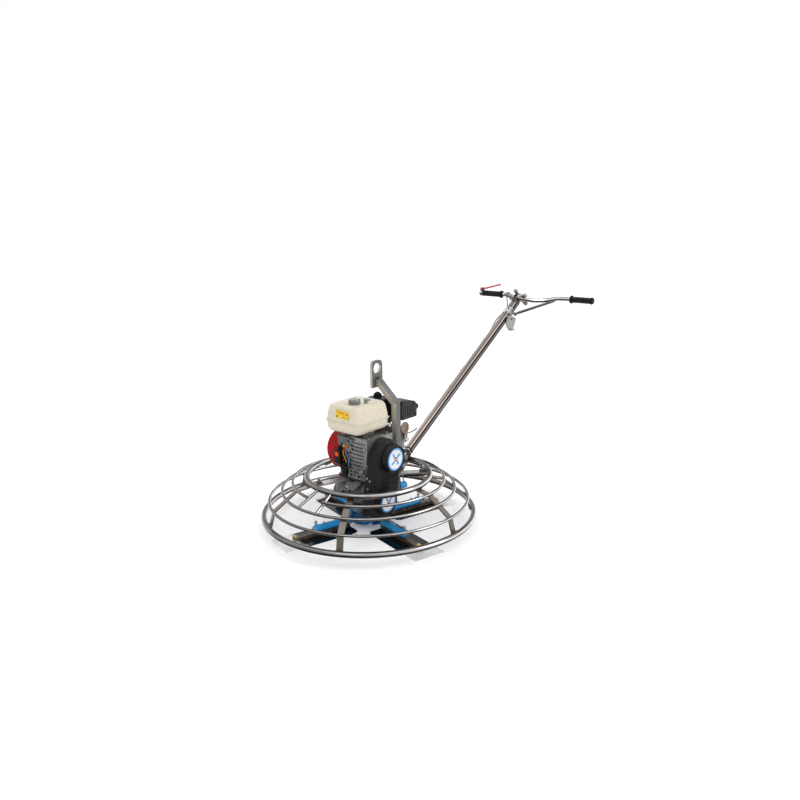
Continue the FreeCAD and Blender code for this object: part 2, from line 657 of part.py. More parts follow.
def wiring_loom():
    """Ignition wires from the switch box round to the fan housing."""
    front = dim("case_front")
    radii = []
    route = [Vector(front - 21, 60, 299), Vector(front - 22, 52, 278), Vector(front - 16, 30, 268),
             Vector(front - 15, 12, 285), Vector(front - 16, 18, 322), Vector(front - 17, 34, 362),
             Vector(front - 15, 52, 394), Vector(front, 66, 402)]
    tube = swept_tube(route, 2.5, radii)
    report_cord("wiring_loom", tube, 2.5, route, radii)
    node(feature("wiring_loom", tube), "wiring_loom")


def report_cord(name, tube, radius, route, radii):
    length = rounded_path(route).Length
    ratio = tube.Volume / (math.pi * radius * radius * length)
    print("%s length %.0f volume ratio %.4f radii %s" % (name, length, ratio, [round(r) for r in radii]))


def control_lever(label, pivot, axis, stem, tip):
    """A flat lever on a short stem."""
    shapes = [Part.makeCylinder(5, stem, pivot, axis)]
    base = pivot + axis * stem
    shapes.append(Part.makeCylinder(7, 3, base, axis))
    middle = base + axis * 1.5
    run = tip - middle
    side = run.cross(axis).normalize() * 4
    half = axis * 1.5
    outline = [middle + side - half, middle - side - half, tip - side - half, tip + side - half]
    shapes.append(polygon_plate(outline, axis * 3))
    shapes.append(Part.makeCylinder(6, 3, tip - half, axis))
    node(feature(label, joined(shapes)), label)


def choke_and_fuel_levers():
    choke = Vector(126, 105.1, 408)
    control_lever("choke_lever", choke, Y_AXIS, 8, choke + Vector(-26, 9.5, 4))
    fuel = Vector(126, 105.1, 391)
    control_lever("fuel_lever", fuel, Y_AXIS, 8, fuel + Vector(-28, 9.5, -6))


def pull_grip():
    """Starter grip at the rope's exit from the recoil cover."""
    direction = Vector(0.8, 0, 0.6)
    exit_point = Vector(dim("crank_x") + 62, 146, dim("crank_z") + 46) + direction * 26
    across = Vector(-0.6, 0, 0.8)
    bar = Part.makeCylinder(8, 56, exit_point + direction * 14 - across * 28, across)
    bar = bar.makeFillet(5, [edge for edge in bar.Edges if edge.Length > 45])
    stem = Part.makeCylinder(6, 12, exit_point, direction)
    rope = Part.makeCylinder(2, 40, exit_point - direction * 40, direction)
    node(feature("pull_grip", joined([bar, stem, rope])), "pull_grip")


# ---------------------------------------------------------------- rotating engine and worm parts

def v_pulley(label, seat, axis_x, axis_z, extra):
    """A grooved pulley turned about Y; the groove walls stand clear of the belt's sides."""
    gap = dim("running_gap")
    half = dim("belt_width") / 2 + gap
    rim = seat + dim("belt_high") + 2
    hub = extra["hub"]
    hub_end = extra["hub_end"]
    body = revolved_body(label + "_body", [
        (extra["bore"], -half - 9), (rim, -half - 9), (rim, -half), (seat, -half), (seat, half), (rim, half),
        (rim, half + 9), (hub, half + 9), (hub, hub_end), (extra["bore"], hub_end)])
    body.Placement = Placement(Vector(axis_x, BELT_Y, axis_z), along(Vector(0, 1, 0)))
    node(body, label)


BELT_Y = -130.0


def crank_train():
    crank = Vector(dim("crank_x"), 0, dim("crank_z"))
    radius = dim("crank_dia") / 2
    shaft = Part.makeCylinder(radius, 262, crank + Vector(0, -146, 0), Y_AXIS)
    webs = [Part.makeCylinder(46, 12, crank + Vector(0, y_place, 0), Y_AXIS) for y_place in (-44, 20)]
    wheel = Part.makeCylinder(86, 22, crank + Vector(0, 92, 0), Y_AXIS)
    wheel = wheel.cut(Part.makeCylinder(radius, 30, crank + Vector(0, 90, 0), Y_AXIS))
    blades = []
    for k in range(12):
        vane = solid_box(Vector(40, 114, -2), Vector(82, 126, 2))
        vane.rotate(Vector(), Y_AXIS, 30 * k)
        vane.translate(crank)
        blades.append(vane)
    flywheel = joined([wheel] + blades)
    node(feature("crankshaft", Part.makeCompound([joined([shaft] + webs), flywheel])), "crankshaft")
    clutch_hub = {"bore": radius, "hub": 30, "hub_end": 30}
    v_pulley("clutch_pulley", dim("clutch_seat"), crank.x, crank.z, clutch_hub)


def worm_train():
    worm = Vector(dim("worm_x"), 0, dim("worm_z"))
    shaft = Part.makeCylinder(10, 244, worm + Vector(0, -146, 0), Y_AXIS)
    thread = Part.makeCylinder(dim("worm_radius"), 64, worm + Vector(0, -32, 0), Y_AXIS)
    node(feature("worm_shaft", joined([shaft, thread])), "worm_shaft")
    v_pulley("worm_pulley", dim("pulley_seat"), worm.x, worm.z, {"bore": 10, "hub": 20, "hub_end": 24})


def belt_loop(offset):
    """Closed wire round both pulleys at a distance outside their seats."""
    top = Vector(dim("crank_x"), 0, dim("crank_z"))
    low = Vector(dim("worm_x"), 0, dim("worm_z"))
    return hull_wire(top, dim("clutch_seat") + offset, low, dim("pulley_seat") + offset)


def hull_wire(top, top_radius, low, low_radius):
    """Two arcs joined by their outer tangents, in the plane y = 0."""
    line = low - top
    span = line.Length
    along_line = line * (1 / span)
    across = Vector(along_line.z, 0, -along_line.x)
    lean = math.asin((top_radius - low_radius) / span)
    ends = []
    for side in (1, -1):
        normal = along_line * math.sin(lean) + across * (side * math.cos(lean))
        ends.append((top + normal * top_radius, low + normal * low_radius))
    top_far = top - along_line * top_radius
    low_far = low + along_line * low_radius
    return Part.Wire([
        Part.LineSegment(ends[0][0], ends[0][1]).toShape(),
        Part.Arc(ends[0][1], low_far, ends[1][1]).toShape(),
        Part.LineSegment(ends[1][1], ends[1][0]).toShape(),
        Part.Arc(ends[1][0], top_far, ends[0][0]).toShape()])


def guard_screw_places():
    """Three screws in the cover's side wall, each as a place on the wall and its outward direction."""
    top = Vector(dim("crank_x"), 0, dim("crank_z"))
    low = Vector(dim("worm_x"), 0, dim("worm_z"))
    line = low - top
    lean = math.asin((dim("upper_lobe_radius") - dim("lower_lobe_radius")) / line.Length)
    line.normalize()
    outward = line * math.sin(lean) + Vector(line.z, 0, -line.x) * math.cos(lean)
    upper = top + outward * dim("upper_lobe_radius")
    lower = low + outward * dim("lower_lobe_radius")
    places = []
    for share, depth in ((0.50, -106), (0.54, -124), (0.72, -118)):
        places.append((upper + (lower - upper) * share + Vector(0, depth, 0), outward))
    return places


def hull_prism(top_radius, low_radius, y_from, depth):
    top = Vector(dim("crank_x"), 0, dim("crank_z"))
    low = Vector(dim("worm_x"), 0, dim("worm_z"))
    face = Part.Face(hull_wire(top, top_radius, low, low_radius))
    face.translate(Vector(0, y_from, 0))
    return face.extrude(Vector(0, depth, 0))


def hull_taper(top_radius, low_radius, y_face, depth):
    """The cover's sloping edge, from its drawn-in face back to its full outline."""
    top = Vector(dim("crank_x"), 0, dim("crank_z"))
    low = Vector(dim("worm_x"), 0, dim("worm_z"))
    draw_in = 13
    face = hull_wire(top, top_radius - draw_in, low, low_radius - draw_in)
    face.translate(Vector(0, y_face, 0))
    full = hull_wire(top, top_radius, low, low_radius)
    full.translate(Vector(0, y_face + depth, 0))
    return Part.makeLoft([face, full], True, True)


def drive_belt():
    gap = dim("running_gap")
    outer = Part.Face(belt_loop(dim("belt_high")))
    inner = Part.Face(belt_loop(gap))
    ring = outer.cut(inner)
    ring.translate(Vector(0, BELT_Y - dim("belt_width") / 2, 0))
    node(feature("drive_belt", ring.extrude(Vector(0, dim("belt_width"), 0))), "drive_belt")


def belt_guard():
    """Pressed back plate and moulded cover with raised bosses over both pulleys."""
    face = -dim("guard_face")
    depth = dim("guard_depth")
    wall = dim("guard_wall")
    crank = Vector(dim("crank_x"), 0, dim("crank_z"))
    worm = Vector(dim("worm_x"), 0, dim("worm_z"))
    upper = dim("upper_lobe_radius")
    lower = dim("lower_lobe_radius")
    plate = hull_prism(upper, lower, face + depth, 3)
    holes = [Part.makeCylinder(33, 20, crank + Vector(0, face + depth - 5, 0), Y_AXIS),
             Part.makeCylinder(26, 20, worm + Vector(0, face + depth - 5, 0), Y_AXIS)]
    node(feature("belt_guard_back", plate.cut(holes)), "belt_guard_back")
    edge = dim("guard_edge")
    shell = hull_prism(upper, lower, face + edge, depth - edge).fuse(hull_taper(upper, lower, face, edge))
    low_boss = worm + Vector(0, 0, 8)
    bosses = [Part.makeCone(60, 62, 27, crank + Vector(0, face - 27, 0), Y_AXIS),
              Part.makeCone(56, 60, 18, low_boss + Vector(0, face - 18, 0), Y_AXIS)]
    inside = hull_prism(upper - wall, lower - wall, face + edge, depth - edge)
    inside = inside.fuse(hull_taper(upper - wall, lower - wall, face + wall, edge - wall))
    louvres = []
    for k in range(3):
        louvres.append(solid_box(Vector(-76, face - 6, 226 + 12 * k), Vector(-44, face + 6, 229 + 12 * k)))
    cover = joined([shell] + bosses)
    boss_hollows = [Part.makeCylinder(56, 28, crank + Vector(0, face - 24, 0), Y_AXIS),
                    Part.makeCylinder(52, 20, low_boss + Vector(0, face - 15, 0), Y_AXIS)]
    screw_holes = []
    for place, outward in guard_screw_places():
        screw_holes.append(Part.makeCylinder(3, 20, place - outward * 10, outward))
    cover = cover.cut(inside).cut(boss_hollows).cut(louvres).cut(screw_holes)
    node(feature("belt_guard_cover", cover), "belt_guard_cover")


# ---------------------------------------------------------------- rotor

def rotor_shaft_parts():
    shaft = cylinder("output_shaft", "dims.shaft_dia / 2", "184", Vector(0, 0, 22))
    node(shaft, "output_shaft")
    wheel = cylinder("worm_wheel_blank", "dims.wheel_radius", "dims.wheel_thick",
                     Vector(0, 0, dim("worm_z") - dim("wheel_thick") / 2))
    bore = cylinder("worm_wheel_bore", "dims.shaft_dia / 2", "60", Vector(0, 0, dim("worm_z") - 30))
    node(cut("worm_wheel", wheel, [bore]), "worm_wheel")


def rotor_hub():
    """Cast spider: a disc with four radial sockets, slotted where the pitch levers swing."""
    bottom = dim("hub_bottom")
    top = dim("hub_top")
    height = dim("arm_axis_z")
    shapes = [Part.makeCylinder(dim("hub_radius"), top - bottom, Vector(0, 0, bottom)),
              Part.makeCylinder(30, 18, Vector(0, 0, top))]
    cuts = [Part.makeCylinder(dim("shaft_dia") / 2, 80, Vector(0, 0, 22))]
    for angle in arm_angles():
        out = polar(1, angle)
        shapes.append(Part.makeCylinder(18, 34, out * 70 + Vector(0, 0, height), out))
        socket_end = out * 29.9 + Vector(0, 0, height)
        cuts.append(Part.makeCylinder(dim("arm_dia") / 2 + dim("running_gap"), 120, socket_end, out))
        slot = solid_box(Vector(dim("lever_at") - 10, -58, 0), Vector(dim("lever_at") + 10, 20, 80))
        slot.rotate(Vector(), Z_AXIS, angle)
        cuts.append(slot)
    hub = joined(shapes)
    node(feature("rotor_hub", hub.cut(cuts)), "rotor_hub")


def arm_angles():
    return [dim("first_arm_angle") + 90 * k for k in range(4)]


def trowel_arms():
    """Each arm turns in its hub socket; a lever with an upright adjusting bolt pitches it."""
    height = dim("arm_axis_z")
    reach = dim("lever_reach")
    lever_at = dim("lever_at")
    for number, angle in enumerate(arm_angles(), start=1):
        bar = Part.makeCylinder(dim("arm_dia") / 2, dim("arm_outer") - 30, Vector(30, 0, height), X_AXIS)
        bar = bar.cut(solid_box(Vector(106, -20, 0), Vector(300, 20, height - dim("arm_dia") / 2 + 0.01)))
        lever = solid_box(Vector(lever_at - 8, -reach - 8, height - 8), Vector(lever_at + 8, 0, height + 8))
        bolt_top = dim("collar_bottom") - 0.1
        shank = bolt_top - height - 4
        bolt = Part.makeCylinder(5, shank, Vector(lever_at, -reach, height))
        bolt = bolt.fuse(Part.makeCone(5, 1.5, 4, Vector(lever_at, -reach, height + shank)))
        nut = Part.makeCylinder(9, 7, Vector(lever_at, -reach, height + 8))
        boss = Part.makeCylinder(11, 16, Vector(dim("arm_outer") - 16, 0, height))
        grease = Part.makeCylinder(4, 20, Vector(150, 0, height))
        shape = joined([bar, lever, bolt, nut, boss, grease])
        label = "arm_%d" % number
        node(feature(label, shape, angle), label)


def blades():
    """Steel blade with clipped corners, its rib on top and the bolts that hold it to the arm."""
    thick = dim("blade_thick")
    inner = dim("blade_inner")
    outer = dim("blade_outer")
    half = dim("blade_width") / 2
    rib_half = dim("rib_width") / 2
    for number, angle in enumerate(arm_angles(), start=1):
        label = "blade_%d" % number
        outline = [Vector(inner, -half + 12, 0), Vector(inner + 18, -half, 0), Vector(outer, -half, 0),
                   Vector(outer, half, 0), Vector(inner + 18, half, 0), Vector(inner, half - 12, 0)]
        plate = polygon_plate(outline, Vector(0, 0, thick))
        rib_top = thick + dim("rib_high")
        rib = solid_box(Vector(inner + 7, -rib_half, thick), Vector(dim("rib_outer"), rib_half, rib_top))
        shape = plate.fuse(rib).removeSplitter()
        node(feature(label, shape, angle), label)


def thrust_collar():
    bottom = Vector(0, 0, dim("collar_bottom"))
    ring = cylinder("collar_ring", "dims.collar_radius", "dims.collar_high", bottom)
    bore = cylinder("collar_bore", "dims.shaft_dia / 2 + dims.running_gap", "40", Vector(0, 0, 80))
    node(cut("thrust_collar", ring, [bore]), "thrust_collar")


def yoke_fork():
    """Fork that presses the collar down, hinged on the cover's lugs and pulled up at its tail."""
    pads_z = dim("collar_bottom") + dim("collar_high") + 0.1
    shapes = []
    for side in (-1, 1):
        profile = [(-8, pads_z + 3), (-3, pads_z), (3, pads_z), (8, pads_z + 3), (96, pads_z + 3), (116, 121),
                   (134, 121), (134, 141), (116, 141), (92, pads_z + 12), (-8, pads_z + 12)]
        points = [Vector(x, side * 60 - 6, z) for x, z in profile]
        shapes.append(polygon_plate(points, Vector(0, 12, 0)))
    shapes.append(Part.makeCylinder(11, 132, Vector(125, -66, 131), Y_AXIS))
    tail = [Vector(125, -9, 122), Vector(240, -9, 96), Vector(240, -9, 112), Vector(125, -9, 140)]
    shapes.append(polygon_plate(tail, Vector(0, 18, 0)))
    shapes.append(Part.makeCylinder(17, 44, Vector(210, 0, 106), Vector(1, 0, -0.05)))
    pin = Part.makeCylinder(4.95, 162, Vector(125, -81, 131), Y_AXIS)
    node(feature("yoke_fork", joined(shapes + [pin])), "yoke_fork")


# ---------------------------------------------------------------- lifting arm

def lifting_arm():
    """Square post on the frame plate, an inclined tube and an eye plate over the centre of mass."""
    top = 572
    post = solid_box(Vector(92, -90, dim("plate_top")), Vector(120, -62, top - 14))
    start = Vector(106, -76, top - 26)
    end = Vector(66, -6, 652)
    run = end - start
    section = Part.makePlane(28, 28, Vector(-14, -14, 0))
    tube = section.extrude(Vector(0, 0, run.Length))
    tube.Placement = Placement(start, along(run))
    foot = solid_box(Vector(78, -91, dim("plate_top")), Vector(134, -40, dim("plate_top") + 6))
    eye = solid_box(Vector(30, -6, 618), Vector(100, 6, 738))
    eye = eye.makeFillet(20, [edge for edge in eye.Edges if edge.BoundBox.ZMin > 737 and edge.Length < 13])
    frame = joined([post, tube, foot, eye])
    frame = frame.cut(Part.makeCylinder(dim("eye_hole_dia") / 2, 60, Vector(65, -30, 703), Y_AXIS))
    node(feature("lifting_arm", frame), "lifting_arm")


# ---------------------------------------------------------------- handle

def slope():
    """Unit vectors along the handle and square to it, up from its top face."""
    rise = math.radians(dim("handle_rise"))
    return Vector(math.cos(rise), 0, math.sin(rise)), Vector(-math.sin(rise), 0, math.cos(rise))


def on_handle(distance, lift=0.0, side=0.0):
    """The point at a distance up the handle from its pivot."""
    run, normal = slope()
    return Vector(dim("pivot_x"), side, dim("pivot_z")) + run * distance + normal * lift


def handle_box(s_from, s_to, half_width, half_high):
    run, normal = slope()
    start = on_handle(s_from, -half_high, -half_width)
    across = Vector(0, 2 * half_width, 0)
    up = normal * (2 * half_high)
    outline = [start, start + across, start + across + up, start + up]
    return polygon_plate(outline, run * (s_to - s_from))


def handle_base():
    """Two cheek plates and their webs behind the gearbox, with the handle's pivot hole."""
    profile = [(143, 170), (143, 184), (150.5, 196), (150.5, 246), (170, 258), (232, 262), (252, 250),
               (255, 226), (216, 186), (190, 170)]
    plates = []
    for side in (-1, 1):
        y_from = 18 if side > 0 else -24
        plates.append(polygon_plate([Vector(x, y_from, z) for x, z in profile], Vector(0, 6, 0)))
    web = solid_box(Vector(150.5, -18, 172), Vector(157, 18, 246))
    stop = Part.makeCylinder(6, 36, on_handle(8, -dim("handle_high") / 2 - 6.1, -18), Y_AXIS)
    pin_start = Vector(dim("pivot_x"), -30, dim("pivot_z"))
    hole = Part.makeCylinder(dim("pivot_pin_dia") / 2, 60, pin_start, Y_AXIS)
    node(feature("handle_base", joined(plates + [web, stop]).cut(hole)), "handle_base")


def handle_tube():
    half_width = dim("handle_width") / 2
    half_high = dim("handle_high") / 2
    wall = dim("handle_wall")
    tube = handle_box(-32, dim("handle_length"), half_width, half_high)
    inside = handle_box(-40, dim("handle_length") - 14, half_width - wall, half_high - wall)
    pin = Part.makeCylinder(dim("pivot_pin_dia") / 2 + dim("running_gap"), 60, on_handle(0, 0, -30), Y_AXIS)
    run, _ = slope()
    screw = Part.makeCylinder(8 + dim("running_gap"), 30, on_handle(dim("handle_length") - 20), run)
    node(feature("handle_tube", tube.cut(inside).cut(pin).cut(screw)), "handle_tube")


def handle_clamp():
    """Sleeve near the handle's top with the strut's lug, and the control plate below it."""
    half_width = dim("handle_width") / 2
    half_high = dim("handle_high") / 2
    sleeve = handle_box(1070, 1118, half_width + 3, half_high + 3)
    sleeve = sleeve.cut(handle_box(1060, 1120, half_width, half_high))
    lug = Part.makeCylinder(9, 12, Vector(1178, -half_width - 14, 818), Y_AXIS)
    profile = [(1099, 817), (1155, 811), (1192, 793), (1163, 736), (1117, 739), (1091, 764)]
    y_from = -half_width - 6
    plate = polygon_plate([Vector(x, y_from, z) for x, z in profile], Vector(0, 2.5, 0))
    lip = solid_box(Vector(1117, y_from - 16, 736), Vector(1163, y_from, 739))
    node(feature("handle_clamp", joined([sleeve, plate, lip, lug])), "handle_clamp")


def bar_route(side):
    """Half of the handlebar, from the handle's top face out to the end of a grip."""
    height = dim("grip_z")
    points = [(1228, 0, 903), (1274, 60, 884), (1342, 104, 880), (1400, 150, 889),
              (dim("grip_x"), 196, height + 1), (dim("grip_x"), dim("grip_outer"), height)]
    return [Vector(x, side * y, z) for x, y, z in points]


def handlebar():
    radius = dim("bar_dia") / 2
    right = bar_route(-1)
    left = bar_route(1)
    centre = Vector(1222, 0, 904)
    path = right[:0:-1] + [centre] + left[1:]
    tube = swept_tube(path, radius)
    strut = solid_rod(Vector(1176, -26, 820), Vector(1398, -150, 880), 5)
    seat = solid_box(Vector(1204, -14, 872), Vector(1232, 14, 903))
    seat = seat.cut(handle_box(960, dim("handle_length") + 40, 40, dim("handle_high") / 2))
    node(feature("handlebar", joined([tube, seat, strut.cut(tube)])), "handlebar")


def grips():
    outer = dim("grip_outer")
    inner = dim("grip_inner")
    shapes = []
    for side in (-1, 1):
        start = Vector(dim("grip_x"), side * inner, dim("grip_z"))
        end = Vector(dim("grip_x"), side * (outer + 4), dim("grip_z"))
        run = end - start
        grip = Part.makeCylinder(dim("grip_dia") / 2, run.Length, start, run)
        flange = Part.makeCylinder(22, 6, start, run)
        grip = joined([grip, flange])
        grip = grip.cut(Part.makeCylinder(dim("bar_dia") / 2 + 0.02, run.Length - 4, start, run))
        shapes.append(grip)
    node(feature("grips", Part.makeCompound(shapes)), "grips")


def lever_mounts():
    """Rounded pivot housing beyond the left grip, with its strap, and the inner lever clamp."""
    x_place = dim("grip_x")
    z_place = dim("grip_z")
    end = dim("grip_outer") + 4.2
    housing = Part.makeCylinder(17, 22, Vector(x_place, end, z_place), Y_AXIS)
    housing = housing.makeFillet(8, [edge for edge in housing.Edges if edge.BoundBox.YMin > end + 21])
    ears = []
    for side in (-1, 1):
        ear_x = x_place + side * 9
        ears.append(solid_box(Vector(ear_x - 3, end, z_place), Vector(ear_x + 3, end + 14, z_place + 33)))
    ears_hole = Part.makeCylinder(3.05, 40, Vector(x_place - 20, end + 7, z_place + 24.2), X_AXIS)
    pivot = joined([housing] + ears).cut(ears_hole)
    clamp_start, clamp_run = lever_run()
    clamp = Part.makeCylinder(16, 14, clamp_start + clamp_run * 18, clamp_run)
    clamp = clamp.cut(Part.makeCylinder(12.2, 60, clamp_start, clamp_run))
    node(feature("lever_mounts", Part.makeCompound([pivot, clamp])), "lever_mounts")


def lever_run():
    """Start and direction of the handlebar's run that carries the throttle lever."""
    start, end = bar_route(1)[3:5]
    return start, (end - start).normalize()


def safety_lever():
    """Hold-to-run lever over the left grip, hinged beyond the grip's end."""
    end = dim("grip_outer") + 4.2
    pivot = Vector(dim("grip_x"), end + 7, dim("grip_z") + 24.2)
    points = [pivot, pivot + Vector(0, -14, 3), pivot + Vector(0, -126, 33)]
    bar = swept_tube(points, 5)
    knuckle = Part.makeCylinder(7, 11.8, pivot - Vector(5.9, 0, 0), X_AXIS)
    pin = Part.makeCylinder(3, 30, pivot - Vector(15, 0, 0), X_AXIS)
    tip = Part.makeSphere(5, points[-1])
    node(feature("safety_lever", joined([bar, knuckle, pin, tip])), "safety_lever")


def throttle_lever():
    """Cranked lever that turns on its clamp beside the left grip."""
    clamp_start, run = lever_run()
    base = clamp_start + run * 32.1
    collar = Part.makeCylinder(16, 6, base, run).cut(Part.makeCylinder(12.2, 20, base - run * 5, run))
    aside = Z_AXIS.cross(run).normalize()
    foot = base + run * 3.5 + Z_AXIS * 12 + aside * 6
    tip = foot + aside * 32 + Z_AXIS * 22
    arm = swept_tube([foot, foot + aside * 10 + Z_AXIS * 12, tip], 3)
    ball = Part.makeSphere(5.5, tip)
    node(feature("throttle_lever", joined([collar, arm, ball])), "throttle_lever")


def pitch_wheel():
    """Star handwheel on the pitch screw, in line with the handle tube."""
    run, normal = slope()
    length = dim("handle_length")
    screw = Part.makeCylinder(8, 140, on_handle(length - 120), run)
    centre = on_handle(length + 28)
    hub = Part.makeCylinder(20, 32, on_handle(length + 12), run)
    shapes = [screw, hub]
    for k in range(5):
        angle = math.radians(72 * k + 6)
        outward = Vector(0, math.sin(angle), 0) + normal * math.cos(angle)
        shapes.append(Part.makeCylinder(9, 46, centre, outward))
        shapes.append(Part.makeSphere(12, centre + outward * 48))
    node(feature("pitch_wheel", joined(shapes)), "pitch_wheel")


def throttle_cable():
    """Bowden cable from the throttle lever's clamp down the handle's left face."""
    half = dim("handle_width") / 2 + 5
    route = [Vector(1392, 158, 905), Vector(1350, 140, 902), Vector(1305, 110, 890), Vector(1262, 78, 868),
             Vector(1222, 52, 838), on_handle(1022, 6, half + 14), on_handle(962, 4, half + 4)]
    for k in range(14):
        wander = 3.0 if k % 2 else 0.0
        route.append(on_handle(907 - 57 * k, 2 + (k % 3), half + wander))
    radii = []
    tube = swept_tube(route, 3, radii)
    report_cord("throttle_cable", tube, 3, route, radii)
    node(feature("throttle_cable", tube), "throttle_cable")


def pitch_cable():
    """Wire rope from the yoke's tail up into the handle's foot."""
    route = [Vector(246, 0, 122), Vector(242, 0, 142), Vector(231, 0, 163), Vector(220, 0, 182),
             Vector(213, 0, 197)]
    radii = []
    tube = swept_tube(route, 3, radii)
    report_cord("pitch_cable", tube, 3, route, radii)
    node(feature("pitch_cable", tube), "pitch_cable")


full_ring("outer_ring", "tube_dia")
full_ring("lower_ring", "rod_dia")
full_ring("middle_ring", "rod_dia")
upper_ring_with_window()
top_ring_with_tabs()
guard_spokes()
guard_arms()
fasteners()
gearbox_housing()
gearbox_cover()
bearings()
frame_plate()
crankcase()
cylinder_head()
fan_housing()
recoil_cover()
fuel_tank()
fuel_cap()
carburettor()
air_cleaner_cover()
cleaner_knob()
muffler()
switch_box()
switch_button()
wiring_loom()
choke_and_fuel_levers()
pull_grip()
crank_train()
worm_train()
drive_belt()
belt_guard()
rotor_shaft_parts()
rotor_hub()
trowel_arms()
blades()
thrust_collar()
yoke_fork()
lifting_arm()
handle_base()
handle_tube()
handle_clamp()
handlebar()
grips()
lever_mounts()
safety_lever()
throttle_lever()
pitch_wheel()
throttle_cable()
pitch_cable()

doc.recompute()
for item in doc.Objects:
    if "Invalid" in item.State or "Error" in item.State:
        raise RuntimeError("%s failed: %s" % (item.Label, item.State))

os.makedirs("parts", exist_ok=True)
for label in node_labels:
    part = doc.getObjectsByLabel(label)[0]
    if part.Shape.isNull() or not part.Shape.isValid():
        raise RuntimeError("%s has no valid shape" % label)
    part.Shape.exportStep("parts/%s.step" % label)
print("%d sub-parts written" % len(node_labels))
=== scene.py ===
import math

import bmesh
import bpy
from mathutils import Matrix, Vector


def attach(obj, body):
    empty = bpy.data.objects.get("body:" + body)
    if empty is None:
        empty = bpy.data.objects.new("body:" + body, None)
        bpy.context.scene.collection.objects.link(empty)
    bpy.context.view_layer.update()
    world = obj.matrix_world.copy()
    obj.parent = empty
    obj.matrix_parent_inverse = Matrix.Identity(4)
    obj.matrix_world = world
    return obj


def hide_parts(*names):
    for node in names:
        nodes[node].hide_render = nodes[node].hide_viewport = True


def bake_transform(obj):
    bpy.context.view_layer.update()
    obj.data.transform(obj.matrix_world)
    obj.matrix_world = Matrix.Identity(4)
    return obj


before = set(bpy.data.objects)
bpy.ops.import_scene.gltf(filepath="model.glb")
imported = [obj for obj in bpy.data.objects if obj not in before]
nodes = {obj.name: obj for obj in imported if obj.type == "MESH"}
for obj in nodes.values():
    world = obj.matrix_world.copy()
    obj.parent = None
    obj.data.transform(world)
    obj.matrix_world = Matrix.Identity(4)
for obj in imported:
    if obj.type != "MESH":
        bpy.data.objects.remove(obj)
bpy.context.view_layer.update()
scene = bpy.context.scene

MM = 0.001
SQUARE = ((-1, -1), (1, -1), (1, 1), (-1, 1))
X_AXIS = Vector((1, 0, 0))
Y_AXIS = Vector((0, 1, 0))
Z_AXIS = Vector((0, 0, 1))
MINUS_Y = (0, -1, 0)
MINUS_X = (-1, 0, 0)


# ------------------------------------------------------------------ looks

